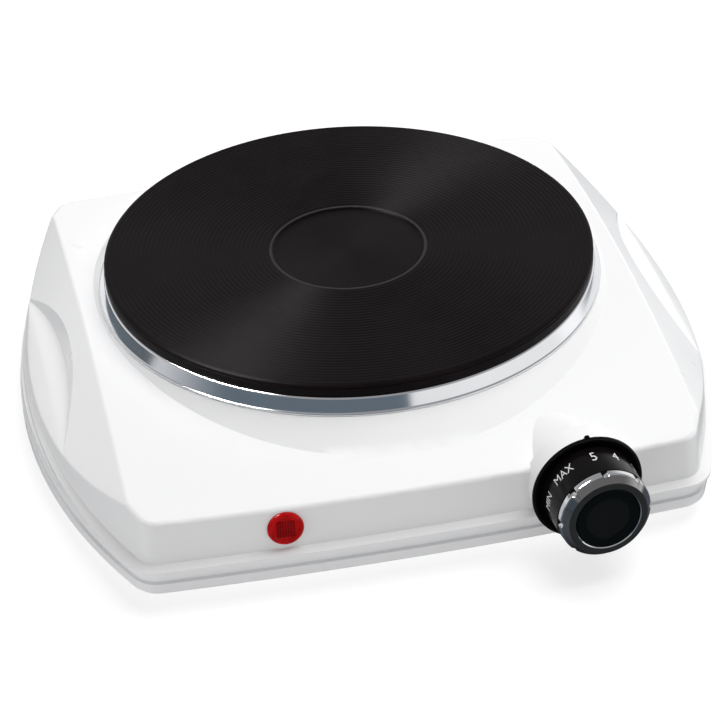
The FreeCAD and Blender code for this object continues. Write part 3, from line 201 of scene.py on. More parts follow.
LOOKS = {
    "white_enamel": enamel("white_enamel", (0.83, 0.83, 0.835)),
    "white_tray": enamel("white_tray", (0.82, 0.82, 0.83)),
    "black_iron": iron("black_iron", 0.85, 0.36),
    "bright_steel": polished_steel(),
    "black_plastic": plastic("black_plastic", (0.0035, 0.0028, 0.003), 0.16, 0.26,
                             Specular_IOR_Level=0.15),
    "knob_chrome": metal("knob_chrome", (0.78, 0.79, 0.81), 0.07, 0.13, (1, 1, 1), 0.02),
    "cap_plastic": plastic("cap_plastic", (0.0025, 0.0042, 0.0045), 0.14, 0.22, Specular_IOR_Level=0.06),
    "red_lens": red_lens(),
    "rubber_black": plastic("rubber_black", (0.02, 0.02, 0.02), 0.6, 0.8, 1400.0, 0.3),
    "ceramic": mineral("ceramic", (0.62, 0.58, 0.50)),
    "coil_wire": metal("coil_wire", (0.33, 0.29, 0.26), 0.4, 0.6),
    "zinc_steel": metal("zinc_steel", (0.62, 0.62, 0.58), 0.25, 0.42),
    "brass_tab": metal("brass_tab", (0.75, 0.55, 0.25), 0.22, 0.36),
    "phenolic": plastic("phenolic", (0.035, 0.018, 0.012), 0.35, 0.5),
    "wire_brown": plastic("wire_brown", (0.14, 0.05, 0.02), 0.4, 0.55),
    "wire_blue": plastic("wire_blue", (0.02, 0.09, 0.42), 0.4, 0.55),
    "wire_green": plastic("wire_green", (0.08, 0.33, 0.04), 0.4, 0.55),
    "wire_white": plastic("wire_white", (0.72, 0.70, 0.66), 0.4, 0.55),
    "nylon": plastic("nylon", (0.70, 0.69, 0.64), 0.35, 0.5),
}
FRONT_RING = plastic("front_ring_grey", (0.022, 0.0225, 0.023), 0.16, 0.24, Specular_IOR_Level=0.25)
CAP_DISC = plastic("cap_disc_grey", (0.006, 0.0065, 0.007), 0.3, 0.38, Specular_IOR_Level=0.08)
# Painted reflection: a darker copy of the knob chrome on the ring's bevel, standing in for something dark seen in
# it.
BEVEL_PAINTED_REFLECTION = metal("bevel_painted_reflection", (0.34, 0.33, 0.33), 0.08, 0.15, (1, 1, 1), 0.02)
# Painted light on the lens: the same red plastic as darker cells (painted shade) and a lighter grid between them
# (painted highlight).
LENS_CELLS_PAINTED_SHADE = plastic("lens_cells_painted_shade", (0.15, 0.001, 0.002), 0.15, 0.25, Specular_IOR_Level=0.12)
LENS_LINES_PAINTED_LIGHT = plastic("lens_lines_painted_light", (0.62, 0.05, 0.06), 0.15, 0.25, Specular_IOR_Level=0.12)
# Painted highlight: a lighter grey metal on the plate's recess lip draws a bright line round it.
LIP_PAINTED_HIGHLIGHT = metal("lip_painted_highlight", (0.055, 0.05, 0.052), 0.3, 0.42, (1, 1, 1), 0.1)
RECESS_IRON = iron("recess_iron", 0.3, 0.48)
RIM_MAROON = plastic("rim_maroon", (0.020, 0.003, 0.004), 0.4, 0.5, Specular_IOR_Level=0.08)
MARK_PAINT = plastic("mark_paint", (0.66, 0.66, 0.65), 0.4, 0.55)


# ---------------------------------------------------------------- mesh tools

def add_mesh(name, points, faces, materials, indices=None, sharp=35.0):
    mesh = bpy.data.meshes.new(name)
    mesh.from_pydata(points, [], faces)
    for material in materials:
        mesh.materials.append(material)
    if indices:
        mesh.polygons.foreach_set("material_index", indices)
    mesh.polygons.foreach_set("use_smooth", [True] * len(mesh.polygons))
    mesh.validate()
    mesh.update()
    mesh.set_sharp_from_angle(angle=math.radians(sharp))
    piece = bpy.data.objects.new(name, mesh)
    bpy.context.collection.objects.link(piece)
    return piece


def softened(outline, steps=4):
    """Turns (r, z, radius) corners into short arcs; corners without a radius stay sharp."""
    out = []
    count = len(outline)
    for i, corner in enumerate(outline):
        radius = corner[2] if len(corner) > 2 else 0.0
        here = Vector(corner[:2])
        if not radius or i in (0, count - 1):
            out.append((here.x, here.y))
            continue
        before = Vector(outline[i - 1][:2]) - here
        after = Vector(outline[i + 1][:2]) - here
        reach = min(radius, 0.49 * before.length, 0.49 * after.length)
        start = here + before.normalized() * reach
        end = here + after.normalized() * reach
        for step in range(steps + 1):
            t = step / steps
            point = start * (1 - t) ** 2 + here * 2 * t * (1 - t) + end * t ** 2
            out.append((point.x, point.y))
    return out


SMALLEST_RADIUS = 1e-6    # a profile point nearer to the axis lies on it


def even_angles(count):
    return [2 * math.pi * i / count for i in range(count)]


def lathe_data(outline, angles, place, reshape=None, bands=None):
    """Points, faces and band numbers of an outline (r, z), from axis to axis or closed by itself."""
    points, faces, marks, rings = [], [], [], []
    for r, z in outline:
        if r < SMALLEST_RADIUS:
            rings.append([len(points)])
            points.append(place @ (Vector((0, 0, z)) * MM))
            continue
        ring = []
        for angle in angles:
            radius = reshape(r, z, angle) if reshape else r
            ring.append(len(points))
            around = Vector((radius * math.cos(angle), radius * math.sin(angle), z))
            points.append(place @ (around * MM))
        rings.append(ring)
    closed = outline[0][0] > SMALLEST_RADIUS
    pairs = list(zip(rings, rings[1:])) + ([(rings[-1], rings[0])] if closed else [])
    count = len(angles)
    for number, (first, second) in enumerate(pairs):
        band = bands[number] if bands else 0
        for i in range(count):
            j = (i + 1) % count
            if len(first) == 1 and len(second) == 1:
                continue
            if len(first) == 1:
                faces.append((first[0], second[j], second[i]))
            elif len(second) == 1:
                faces.append((first[i], first[j], second[0]))
            else:
                faces.append((first[i], first[j], second[j], second[i]))
            marks.append(band)
    return points, faces, marks


def lathe(name, outline, place, materials, segments=192, reshape=None, angles=None, bands=None,
          sharp=35.0):
    data = lathe_data(outline, angles or even_angles(segments), place, reshape, bands)
    return add_mesh(name, data[0], data[1], materials, data[2], sharp)


def stands_for(piece, body, node):
    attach(piece, body)
    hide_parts(node)


# ---------------------------------------------------------------- cooking plate and trim ring

PLATE_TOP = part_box("hot_plate")[1].z / MM
PLATE_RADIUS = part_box("hot_plate")[1].x / MM
PLATE_FOOT = PLATE_TOP - 5.2
GROOVE_PITCH = 1.7
GROOVE_DEPTH = 0.08
RECESS = 28.8
RECESS_FLOOR = PLATE_TOP - 0.9
PLATE_SEGMENTS = 256
RING_SEGMENTS = 320
UPRIGHT = Matrix.Identity(4)
IRON_BAND, LIP_HIGHLIGHT_BAND, GROOVE_BAND, RECESS_BAND = range(4)
LAND_AND_VALLEY = ((0.0, 0.12), (0.12, 0.0), (0.5, 0.0), (0.62, 0.3), (0.75, 1.0), (0.88, 0.6))


def grooves(outer, inner, top, depth):
    """Turned grooves from the outer radius inwards, each a flat land and a round valley."""
    count = int((outer - inner) / GROOVE_PITCH)
    pitch = (outer - inner) / count
    points = []
    for i in range(count):
        r = outer - i * pitch
        for share, drop in LAND_AND_VALLEY:
            points.append((r - share * pitch, top - drop * depth))
    return points


def plate_band(r, z):
    """Which material starts at a profile point: recess, its lip in a lighter grey metal that paints a highlight
    line, the rim's groove, or iron.
    """
    if r < RECESS - 0.4 and z > RECESS_FLOOR - 0.2:
        return RECESS_BAND
    # the recess lip takes the lighter metal that paints a highlight line
    if RECESS + 0.05 < r < RECESS + 1.2 and z > PLATE_TOP - 0.06:
        return LIP_HIGHLIGHT_BAND
    if r > PLATE_RADIUS - 0.35 and PLATE_TOP - 1.6 < z < PLATE_TOP - 1.2:
        return GROOVE_BAND
    return IRON_BAND


def make_plate():
    """Turned plate: ribs and centre boss below, stepped rim, grooved top and grooved recess."""
    web, foot = PLATE_TOP - 6.0, PLATE_TOP - 14.0
    boss = PLATE_TOP - 12.0
    under = [(0, boss + 4.5), (3.05, boss + 4.5), (3.05, boss), (10.0, boss, 0.6), (10.0, web)]
    for inner, outer in ((30.0, 32.0), (56.0, 58.0), (84.0, 86.0)):
        under += [(inner, web), (inner, foot, 0.4), (outer, foot, 0.4), (outer, web)]
    under[-1] = (86.0, PLATE_FOOT)
    rim = [(PLATE_RADIUS - 0.5, PLATE_FOOT, 0.4), (PLATE_RADIUS, PLATE_FOOT + 0.6, 0.4),
           (PLATE_RADIUS, PLATE_TOP - 1.7, 0.1), (PLATE_RADIUS - 0.3, PLATE_TOP - 1.5),
           (PLATE_RADIUS - 0.3, PLATE_TOP - 1.25), (PLATE_RADIUS, PLATE_TOP - 1.05, 0.1),
           (PLATE_RADIUS, PLATE_TOP - 0.5, 0.4), (PLATE_RADIUS - 0.9, PLATE_TOP, 0.6)]
    top = grooves(PLATE_RADIUS - 1.5, RECESS + 1.6, PLATE_TOP, GROOVE_DEPTH)
    lip = [(RECESS + 1.5, PLATE_TOP - 0.1), (RECESS + 1.1, PLATE_TOP - 0.05), (RECESS + 0.6, PLATE_TOP),
           (RECESS + 0.1, PLATE_TOP - 0.04, 0.2), (RECESS - 0.35, PLATE_TOP - 0.45),
           (RECESS - 0.6, RECESS_FLOOR, 0.25)]
    floor = grooves(RECESS - 1.4, 2.0, RECESS_FLOOR, 0.03)
    outline = softened(under + rim) + top + softened(lip) + floor + [(0, RECESS_FLOOR)]
    bands = [plate_band(*point) for point in outline[:-1]]
    materials = [LOOKS["black_iron"], LIP_PAINTED_HIGHLIGHT, RIM_MAROON, RECESS_IRON]
    plate = lathe("plate_turned", outline, UPRIGHT, materials, PLATE_SEGMENTS, bands=bands, sharp=50.0)
    stands_for(plate, "base", "hot_plate")


make_plate()

RING_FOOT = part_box("trim_ring")[0].z / MM
RING_RADIUS = 94.8


def make_trim_ring():
    """Thin pressed steel: inner shelf under the plate, a cone, and a rolled foot on the collar."""
    lip = PLATE_FOOT
    outline = [(87.5, lip - 0.8), (91.8, lip - 0.8, 0.4), (RING_RADIUS - 0.9, RING_FOOT + 0.6, 0.3),
               (RING_RADIUS - 0.9, RING_FOOT), (RING_RADIUS + 0.6, RING_FOOT, 0.3),
               (RING_RADIUS + 0.6, RING_FOOT + 0.8, 0.35), (RING_RADIUS + 0.1, RING_FOOT + 1.1, 0.3),
               (92.9, lip - 0.4, 0.4), (92.4, lip, 0.3), (87.5, lip)]
    ring = lathe("ring_pressed", softened(outline), UPRIGHT, [LOOKS["bright_steel"]], RING_SEGMENTS)
    stands_for(ring, "base", "trim_ring")


make_trim_ring()


# ---------------------------------------------------------------- knob

turn = frame["joints"][0]
AXIS = Vector(turn["axis"]).normalized()
ACROSS = Vector((-AXIS.y, AXIS.x, 0)).normalized()
UP = AXIS.cross(ACROSS)
KNOB_TURN = Matrix((ACROSS, UP, AXIS)).transposed().to_4x4()
KNOB_PLACE = Matrix.Translation(Vector(turn["pos_m"])) @ KNOB_TURN
BEZEL_RIM = 20.6
SKIRT = (17.2, -0.5)
SHOULDER = (16.8, 14.7)
GRIP = 16.8
FRONT = 19.9
MOUTH = 11.9
LIP = 0.3
NOTCHES = 8
NOTCH_CENTRE = GRIP + 0.7
NOTCH_RADIUS = 1.5
NOTCH_CUTS = (0.0, 0.3, 0.6, 0.9, 1.2, 1.33, 1.42, 1.5)    # across half a notch
NOTCH_DEPTH_END = 14.0
LAND_STEPS = 14
WALL_BAND, BEVEL_BAND, FRONT_BAND = range(3)


def make_bezel():
    """Dished ring with a small pointer block on its top edge."""
    outline = [(6.0, 0.2), (15.0, 0.2), (15.0, -1.5), (BEZEL_RIM - 0.4, -1.5, 0.2),
               (BEZEL_RIM, -1.1, 0.2), (BEZEL_RIM, -0.4, 0.3), (BEZEL_RIM - 0.5, 0.1, 0.3),
               (BEZEL_RIM - 1.2, 0.1, 0.25), (17.6, -0.9, 0.5), (15.2, -0.9), (15.2, 1.0, 0.1),
               (15.0, 1.2), (6.0, 1.2)]
    points, faces, marks = lathe_data(softened(outline), even_angles(192), KNOB_PLACE)
    half = 1.3
    corners = [(-half, BEZEL_RIM - 0.4), (half, BEZEL_RIM - 0.4), (0.75, BEZEL_RIM + 0.9),
               (0.4, BEZEL_RIM + 1.05), (-0.4, BEZEL_RIM + 1.05), (-0.75, BEZEL_RIM + 0.9)]
    start = len(points)
    for inset, level in ((0.0, -1.2), (0.0, -0.55), (0.18, -0.35)):
        for x, y in corners:
            scale = 1 - inset / half
            points.append(KNOB_PLACE @ (Vector((x * scale, y - inset, level)) * MM))
    count = len(corners)
    faces.append(tuple(start + i for i in reversed(range(count))))
    for layer in range(2):
        base = start + layer * count
        for i in range(count):
            j = (i + 1) % count
            faces.append((base + i, base + j, base + count + j, base + count + i))
    faces.append(tuple(start + 2 * count + i for i in range(count)))
    marks += [0] * (len(faces) - len(marks))
    bezel = add_mesh("bezel_dished", points, faces, [LOOKS["black_plastic"]], marks, 30.0)
    stands_for(bezel, "base", "knob_bezel")


def make_skirt():
    """Slightly conical skirt, open behind, with its hub and the nose that carries the ring."""
    hub, mouth = 5.5, 10.6
    outline = [(SKIRT[0] - 1.6, SKIRT[1]), (SKIRT[0] - 0.2, SKIRT[1], 0.15),
               (SKIRT[0], SKIRT[1] + 0.3, 0.15), (SHOULDER[0] + 0.1, SHOULDER[1] - 0.3, 0.2),
               (SHOULDER[0] - 0.2, SHOULDER[1]),
               (13.0, SHOULDER[1]), (13.0, 18.7), (mouth, 18.7), (mouth, 12.0), (hub, 12.0),
               (hub, 16.5, 0.3), (3.05, 16.5), (3.05, 1.6), (hub, 1.6, 0.3), (hub, 10.0),
               (SKIRT[0] - 1.6, 10.0)]
    skirt = lathe("dial_skirt", softened(outline), KNOB_PLACE, [LOOKS["black_plastic"]], 192)
    stands_for(skirt, "knob", "knob_body")


def notch_angles():
    """Even steps with finer ones where a notch cuts the ring."""
    cuts = [-x for x in reversed(NOTCH_CUTS[1:])] + list(NOTCH_CUTS)
    fine = [math.asin(x / NOTCH_CENTRE) for x in cuts]
    angles = []
    sector = 2 * math.pi / NOTCHES
    for k in range(NOTCHES):
        middle = k * sector
        angles += [middle + a for a in fine]
        gap = sector - 2 * fine[-1]
        angles += [middle + fine[-1] + gap * i / LAND_STEPS for i in range(1, LAND_STEPS)]
    return angles


def notched(r, z, angle):
    """Radius of the ring's outside at an angle, with its round notches cut in."""
    sector = 2 * math.pi / NOTCHES
    offset = (angle + sector / 2) % sector - sector / 2
    side = NOTCH_CENTRE * math.sin(offset)
    if abs(side) >= NOTCH_RADIUS or r < NOTCH_DEPTH_END:
        return r
    return min(r, NOTCH_CENTRE * math.cos(offset) - math.sqrt(NOTCH_RADIUS ** 2 - side ** 2))


def grip_band(r, z, next_r, next_z):
    """Which material a stretch of the profile has: bright wall and lip, the bevel in a darker copy of the chrome
    that paints a dark reflection, or grey front.
    """
    if max(r, next_r) < MOUTH + LIP + 0.01:
        return WALL_BAND
    if min(z, next_z) > FRONT - 0.5 and max(r, next_r) < 14.6:
        return FRONT_BAND
    return BEVEL_BAND if min(z, next_z) > 17.3 and min(r, next_r) > 14.0 else WALL_BAND


def make_grip():
    """Notched ring: round wall, bevel, flat front and a bright lip round the cap."""
    outline = [(13.1, 14.8), (GRIP - 0.15, 14.8), (GRIP, 14.95), (GRIP, 17.0, 0.4),
               (GRIP - 0.4, 17.5, 0.3), (14.5, FRONT - 0.1, 0.35), (14.0, FRONT, 0.2),
               (MOUTH + LIP, FRONT), (MOUTH, FRONT - LIP),
               (MOUTH, 18.9), (13.1, 18.9)]
    shape = softened(outline)
    bands = [grip_band(*a, *b) for a, b in zip(shape, shape[1:] + shape[:1])]
    # the bevel band gets the darker chrome that paints a dark reflection
    materials = [LOOKS["knob_chrome"], BEVEL_PAINTED_REFLECTION, FRONT_RING]
    grip = lathe("grip_notched", shape, KNOB_PLACE, materials, reshape=notched, angles=notch_angles(),
                 bands=bands, sharp=28.0)
    stands_for(grip, "knob", "knob_ring")


def make_cap():
    """End cap with a rounded edge and a slightly sunken disc."""
    edge = MOUTH - 0.2
    outline = [(0, 18.75), (edge, 18.75), (edge, FRONT - 0.55, 0.2), (edge - 0.4, FRONT - 0.3, 0.2),
               (8.3, FRONT - 0.3, 0.15), (8.0, FRONT - 0.5), (7.9, FRONT - 0.5), (0, FRONT - 0.5)]
    shape = softened(outline)
    bands = [1 if a[0] < 7.95 and a[1] > FRONT - 0.6 else 0 for a in shape[:-1]]
    cap = lathe("cap_disc", shape, KNOB_PLACE, [LOOKS["cap_plastic"], CAP_DISC], 160, bands=bands)
    stands_for(cap, "knob", "knob_cap")


make_bezel()
make_skirt()
make_grip()
make_cap()

DIGIT_HEIGHT = 4.6
MARK_LEVEL = 5.8
STRIP_WIDTH = 0.4
STRIP_CUTS = 16
CAPITAL_SHARE = 0.7     # height of a capital letter as a share of the font's size
MARK_SQUEEZE = 0.78     # the letters are narrower than the font's
MARKS = (("MIN", 172.0, 0.74), ("MAX", 132.4, 0.8), ("5", 90.3, 1.0), ("4", 62.0, 1.0), ("3", 28.5, 1.0),
         ("2", -2.5, 1.0), ("1", -33.5, 1.0))


def make_mark(number, text, degrees, scale):
    """White lettering that lies on the skirt, its top towards the bezel."""
    curve = bpy.data.curves.new("mark_text_%d" % number, "FONT")
    curve.body = text
    curve.align_x = "CENTER"
    curve.align_y = "CENTER"
    curve.size = DIGIT_HEIGHT * scale / CAPITAL_SHARE
    curve.space_character = 1.02
    curve.extrude = 0.05
    curve.resolution_u = 4
    writer = bpy.data.objects.new("mark_writer", curve)
    bpy.context.collection.objects.link(writer)
    bpy.context.view_layer.update()
    written = writer.evaluated_get(bpy.context.evaluated_depsgraph_get())
    flat = bpy.data.meshes.new_from_object(written)
    bpy.data.objects.remove(writer)
    strips = bmesh.new()
    strips.from_mesh(flat)
    for cut in range(-STRIP_CUTS, STRIP_CUTS + 1):
        everything = strips.verts[:] + strips.edges[:] + strips.faces[:]
        bmesh.ops.bisect_plane(strips, geom=everything, plane_co=(cut * STRIP_WIDTH, 0, 0),
                               plane_no=(1, 0, 0))
    strips.to_mesh(flat)
    strips.free()
    lean = (SHOULDER[0] - SKIRT[0]) / (SHOULDER[1] - SKIRT[1])
    points = []
    for vertex in flat.vertices:
        x, y, z = vertex.co
        level = MARK_LEVEL - y
        radius = SKIRT[0] + lean * (level - SKIRT[1]) + 0.03 + z
        angle = math.radians(degrees) - MARK_SQUEEZE * x / SKIRT[0]
        place = Vector((radius * math.cos(angle), radius * math.sin(angle), level))
        points.append(KNOB_PLACE @ (place * MM))
    faces = [tuple(face.vertices) for face in flat.polygons]
    mark = add_mesh("mark_%d" % number, points, faces, [MARK_PAINT], None, 30.0)
    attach(mark, "knob")


for index, (text, degrees, scale) in enumerate(MARKS):
    make_mark(index, text, degrees, scale)


# ---------------------------------------------------------------- indicator lamp

LAMP_LOW, LAMP_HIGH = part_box("lamp_lens")
LAMP_OUT = Vector((-0.0336, -1.0, 0.0787)).normalized()    # square to the drafted front wall there
LAMP_RIGHT = Vector((-LAMP_OUT.y, LAMP_OUT.x, 0)).normalized()
LAMP_UP = LAMP_OUT.cross(LAMP_RIGHT)
LAMP_FACE = 1.6
LAMP_SEAT = Vector(((LAMP_LOW.x + LAMP_HIGH.x) / 2, LAMP_LOW.y + (LAMP_FACE + 0.45) * MM,
                    (LAMP_LOW.z + LAMP_HIGH.z) / 2))
LAMP_TURN = Matrix((LAMP_RIGHT, LAMP_UP, LAMP_OUT)).transposed().to_4x4()
LAMP_PLACE = Matrix.Translation(LAMP_SEAT) @ LAMP_TURN
LATTICE = 7
LATTICE_HALF = 3.3
LATTICE_RADIUS = 4.2
CELL_LAYERS = ((0.34, 0.85), (0.33, 0.98), (0.28, 1.1))    # half width in pitches, and height
CELL_CORNERS = ((-1, -1), (1, -1), (1, 1), (-1, 1))
LENS_BAND, LINES_BAND, CELL_BAND = range(3)


def make_lens():
    """Lens with a raised rim, and a lattice of small square cells on its sunken middle."""
    middle = 0.9
    outline = [(0, middle), (4.3, middle, 0.2), (4.75, 1.35, 0.3), (5.3, LAMP_FACE, 0.4),
               (6.1, 1.15, 0.4), (6.5, 0.45, 0.3), (6.5, 0.05), (5.0, 0.05), (5.0, -9.0),
               (3.8, -9.0), (3.8, -1.0), (0, -1.0)]
    shape = softened(outline)
    bands = [LINES_BAND if a[1] == middle and b[1] == middle else LENS_BAND
             for a, b in zip(shape, shape[1:])]
    points, faces, marks = lathe_data(shape, even_angles(96), LAMP_PLACE, bands=bands)
    pitch = 2 * LATTICE_HALF / LATTICE
    for row in range(LATTICE):
        for column in range(LATTICE):
            x = (column + 0.5) * pitch - LATTICE_HALF
            y = (row + 0.5) * pitch - LATTICE_HALF
            if math.hypot(x, y) > LATTICE_RADIUS:
                continue
            start = len(points)
            for half, level in CELL_LAYERS:
                for sx, sy in CELL_CORNERS:
                    corner = Vector((x + sx * half * pitch, y + sy * half * pitch, level))
                    points.append(LAMP_PLACE @ (corner * MM))
            for layer in (0, 4):
                for i in range(4):
                    j = (i + 1) % 4
                    low, high = start + layer, start + layer + 4
                    faces.append((low + i, low + j, high + j, high + i))
            faces.append((start + 8, start + 9, start + 10, start + 11))
            faces.append((start + 3, start + 2, start + 1, start))
    marks += [CELL_BAND] * (len(faces) - len(marks))
    # the lattice grid and cells take lighter and darker copies of the red plastic: painted light and shade
    materials = [LOOKS["red_lens"], LENS_LINES_PAINTED_LIGHT, LENS_CELLS_PAINTED_SHADE]
    lens = add_mesh("lens_lattice", points, faces, materials, marks, 25.0)
    stands_for(lens, "base", "lamp_lens")


make_lens()


# ---------------------------------------------------------------- the rest of the frame

SOFT_ANGLE = 24.0
WELD_REACH = 0.000002


def corner_group():
    """Geometry nodes that shade edges smooth up to an angle and leave the others sharp."""
    group = bpy.data.node_groups.new("soft_corners", "GeometryNodeTree")
    group.interface.new_socket("Geometry", in_out="INPUT", socket_type="NodeSocketGeometry")
    group.interface.new_socket("Geometry", in_out="OUTPUT", socket_type="NodeSocketGeometry")
    enter = group.nodes.new("NodeGroupInput")
    leave = group.nodes.new("NodeGroupOutput")
    angle = group.nodes.new("GeometryNodeInputMeshEdgeAngle")
    below = group.nodes.new("FunctionNodeCompare")
    below.data_type = "FLOAT"
    below.operation = "LESS_EQUAL"
    below.inputs["B"].default_value = math.radians(SOFT_ANGLE)
    shade = group.nodes.new("GeometryNodeSetShadeSmooth")
    shade.domain = "EDGE"
    group.links.new(angle.outputs["Unsigned Angle"], below.inputs["A"])
    group.links.new(below.outputs["Result"], shade.inputs["Shade Smooth"])
    group.links.new(enter.outputs["Geometry"], shade.inputs["Geometry"])
    group.links.new(shade.outputs["Geometry"], leave.inputs["Geometry"])
    return group


SOFT_CORNERS = corner_group()


def smooth_corners(piece):
    weld = piece.modifiers.new("weld", "WELD")
    weld.merge_threshold = WELD_REACH
    corners = piece.modifiers.new("corners", "NODES")
    corners.node_group = SOFT_CORNERS
    weighted = piece.modifiers.new("weighted", "WEIGHTED_NORMAL")
    weighted.keep_sharp = True
    weighted.weight = 100


REPLACED = {"hot_plate", "trim_ring", "knob_bezel", "knob_body", "knob_ring", "knob_cap", "lamp_lens"}
for node, piece in frame["nodes"].items():
    if node in REPLACED:
        continue
    piece.data.materials.clear()
    piece.data.materials.append(LOOKS[SLOT_OF[node]])
    piece.data.polygons.foreach_set("use_smooth", [True] * len(piece.data.polygons))
    custom = piece.data.attributes.get("custom_normal")
    if custom:
        piece.data.attributes.remove(custom)
    piece.data.update()
    smooth_corners(piece)


# ---------------------------------------------------------------- floor, light and camera

FLOOR_STEPS = 24
FLOOR_HALF = 6.0
FLOOR_GLOW = 0.72
CARD_COLOUR = (0.12, 0.14, 0.16, 1.0)
CARD_FADE = (0.25, 0.45)    # x where the card ends, in metres


def make_floor():
    """White paper; polished pieces see a dark card on it, from the left to just right of the knob."""
    steps, row = FLOOR_STEPS, FLOOR_STEPS + 1
    points = [((i / steps - 0.5) * 2 * FLOOR_HALF, (j / steps - 0.5) * 2 * FLOOR_HALF, 0.0)
              for j in range(row) for i in range(row)]
    faces = [(j * row + i, j * row + i + 1, (j + 1) * row + i + 1, (j + 1) * row + i)
             for j in range(steps) for i in range(steps)]
    shader = Shader("studio_paper", (0.34, 0.34, 0.34), 0.9, Specular_IOR_Level=0.1,
                    Emission_Color=(1.0, 1.0, 1.0, 1.0), Emission_Strength=FLOOR_GLOW)
    shader.vary_roughness(3.0, 0.85, 0.95)
    card = shader.nodes.new("ShaderNodeBsdfDiffuse")
    card.inputs["Color"].default_value = CARD_COLOUR
    split = shader.nodes.new("ShaderNodeSeparateXYZ")
    shader.links.new(shader.coordinates, split.inputs[0])
    left = shader.ramp(split.outputs["X"], 1.0, 0.0, *CARD_FADE)
    seen = shader.nodes.new("ShaderNodeMath")
    seen.operation = "MULTIPLY"
    shader.links.new(left, seen.inputs[0])
    shader.links.new(shader.nodes.new("ShaderNodeLightPath").outputs["Is Glossy Ray"], seen.inputs[1])
    either = shader.nodes.new("ShaderNodeMixShader")
    shader.links.new(seen.outputs[0], either.inputs[0])
    shader.links.new(shader.main.outputs[0], either.inputs[1])
    shader.links.new(card.outputs[0], either.inputs[2])
    shader.links.new(either.outputs[0], shader.nodes["Material Output"].inputs["Surface"])
    floor = add_mesh("studio_floor", points, faces, [shader.material], None, 30.0)


ORIGIN = (0, 0, 0)
OVERHEAD_PLACE = (0.6, 0.25, 2.0)
LEFT_FILL_PLACE = (-2.4, -0.3, 0.35)
ACCENT_PLACE = (-0.92, 0.3, 1.76)


def add_area(name, place, aim, sides, power, glossy=True, diffuse=True):
    """Soft rectangular light of a given power in watts, which aims at a point."""
    light = bpy.data.lights.new(name, "AREA")
    light.shape = "RECTANGLE"
    light.size, light.size_y = sides
    light.energy = power
    lamp = bpy.data.objects.new(name, light)
    lamp.location = place
    lamp.rotation_euler = (Vector(aim) - Vector(place)).to_track_quat("-Z", "Y").to_euler()
    lamp.visible_glossy = glossy
    lamp.visible_diffuse = diffuse
    bpy.context.collection.objects.link(lamp)
    return lamp


def shine_only_on(lamp, names):
    """Keeps the light that draws the fan of highlights on the plate off the enamel."""
    pieces = bpy.data.collections.new("accent_pieces")
    for name in names:
        pieces.objects.link(bpy.data.objects[name])
    lamp.light_linking.receiver_collection = pieces


ROOM_LIGHT = (0.29, 0.29, 0.29, 1.0)
WALLS_LOW = (0.95, 0.95, 0.95, 1.0)
WALLS_HIGH = (0.34, 0.34, 0.345, 1.0)
FLAG_COLOUR = (0.13, 0.165, 0.20, 1.0)
FLAG_LEFT_EDGE = (-125, -62)    # degrees, 0 straight in front and positive to the right
FLAG_RIGHT_EDGE = (11, 14)
FLAG_TOP_EDGE = (0.32, 0.5)     # heights on the unit sphere
WALLS_CHANGE = (0.15, 0.55)


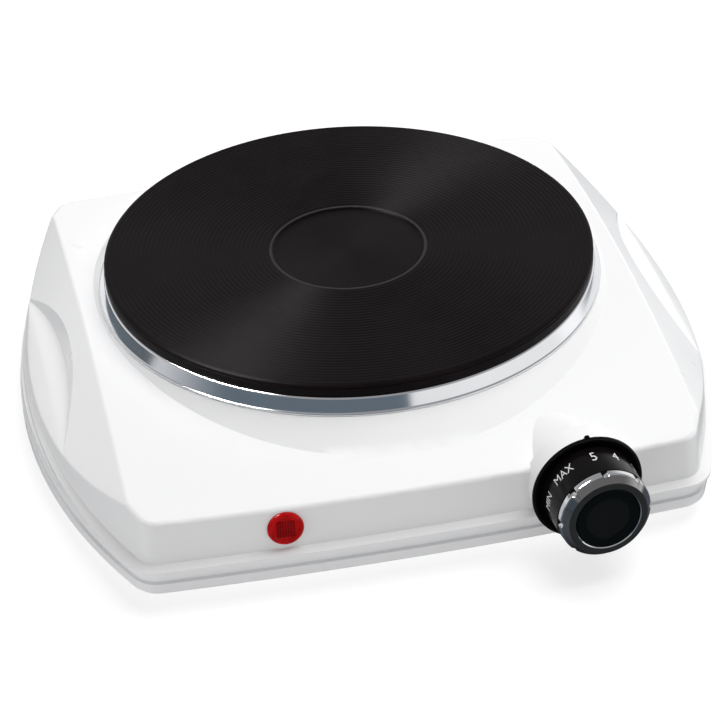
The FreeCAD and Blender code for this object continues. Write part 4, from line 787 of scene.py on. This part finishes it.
def make_world():
    """Even light for matt surfaces; polished ones see a room with a blue-grey flag low at the left."""
    world = bpy.data.worlds.new("studio")
    scene.world = world
    world.use_nodes = True
    nodes, links = world.node_tree.nodes, world.node_tree.links
    background = nodes["Background"]
    split = nodes.new("ShaderNodeSeparateXYZ")
    links.new(nodes.new("ShaderNodeTexCoord").outputs["Generated"], split.inputs[0])

    def calculate(kind, first, second):
        node = nodes.new("ShaderNodeMath")
        node.operation = kind
        for socket, value in zip(node.inputs, (first, second)):
            if isinstance(value, float):
                socket.default_value = value
            else:
                links.new(value, socket)
        return node.outputs[0]

    def step(value, start, end, low, high):
        node = nodes.new("ShaderNodeMapRange")
        node.interpolation_type = "SMOOTHSTEP"
        for socket, number in zip(RAMP_ENDS, (start, end, low, high)):
            node.inputs[socket].default_value = number
        links.new(value, node.inputs["Value"])
        return node.outputs["Result"]

    def blend(factor, first, second):
        node = nodes.new("ShaderNodeMix")
        node.data_type = "RGBA"
        links.new(factor, node.inputs["Factor"])
        for socket, value in ((node.inputs[6], first), (node.inputs[7], second)):
            if isinstance(value, tuple):
                socket.default_value = value
            else:
                links.new(value, socket)
        return node.outputs[2]

    azimuth = calculate("ARCTAN2", split.outputs["X"], calculate("MULTIPLY", split.outputs["Y"], -1.0))
    height = split.outputs["Z"]
    left_edge = step(azimuth, *map(math.radians, FLAG_LEFT_EDGE), 0.0, 1.0)
    right_edge = step(azimuth, *map(math.radians, FLAG_RIGHT_EDGE), 1.0, 0.0)
    across = calculate("MULTIPLY", left_edge, right_edge)
    flag = calculate("MULTIPLY", across, step(height, *FLAG_TOP_EDGE, 1.0, 0.0))
    walls = blend(step(height, *WALLS_CHANGE, 0.0, 1.0), WALLS_LOW, WALLS_HIGH)
    seen = blend(flag, walls, FLAG_COLOUR)
    glossy = nodes.new("ShaderNodeLightPath").outputs["Is Glossy Ray"]
    links.new(blend(glossy, ROOM_LIGHT, seen), background.inputs["Color"])


CAMERA_ANGLES = (-10.67, 34.11, -2.77)    # azimuth, elevation and roll, in degrees
CAMERA_DISTANCE = 1.135
CAMERA_LENS = 149.17
SENSOR_WIDTH = 36.0
AIM_RIGHT, AIM_UP = 5.24, -43.69    # from the middle of the plate's top, across the picture


def make_camera():
    azimuth, elevation, roll = map(math.radians, CAMERA_ANGLES)
    back = Vector((math.sin(azimuth) * math.cos(elevation), -math.cos(azimuth) * math.cos(elevation),
                   math.sin(elevation)))
    level = Vector((math.cos(azimuth), math.sin(azimuth), 0))
    rise = back.cross(level)
    right = level * math.cos(roll) + rise * math.sin(roll)
    up = rise * math.cos(roll) - level * math.sin(roll)
    target = Vector((0, 0, PLATE_TOP)) * MM
    place = target + right * (AIM_RIGHT * MM) + up * (AIM_UP * MM) + back * CAMERA_DISTANCE
    data = bpy.data.cameras.new("camera")
    data.sensor_width = SENSOR_WIDTH
    data.lens = CAMERA_LENS
    data.clip_start, data.clip_end = 0.05, 50.0
    camera = bpy.data.objects.new("camera", data)
    camera.matrix_world = Matrix.Translation(place) @ Matrix((right, up, back)).transposed().to_4x4()
    bpy.context.collection.objects.link(camera)
    scene.camera = camera


make_floor()
make_world()
add_area("overhead", OVERHEAD_PLACE, ORIGIN, (1.8, 1.8), 50.0, glossy=False)
add_area("left_fill", LEFT_FILL_PLACE, (0, 0, 0.05), (1.4, 0.6), 9.5, glossy=False)
accent = add_area("accent", ACCENT_PLACE, ORIGIN, (0.9, 0.7), 70.0, diffuse=False)
shine_only_on(accent, ("plate_turned", "ring_pressed", "grip_notched", "lens_lattice"))
make_camera()
scene.view_settings.view_transform = "Standard"
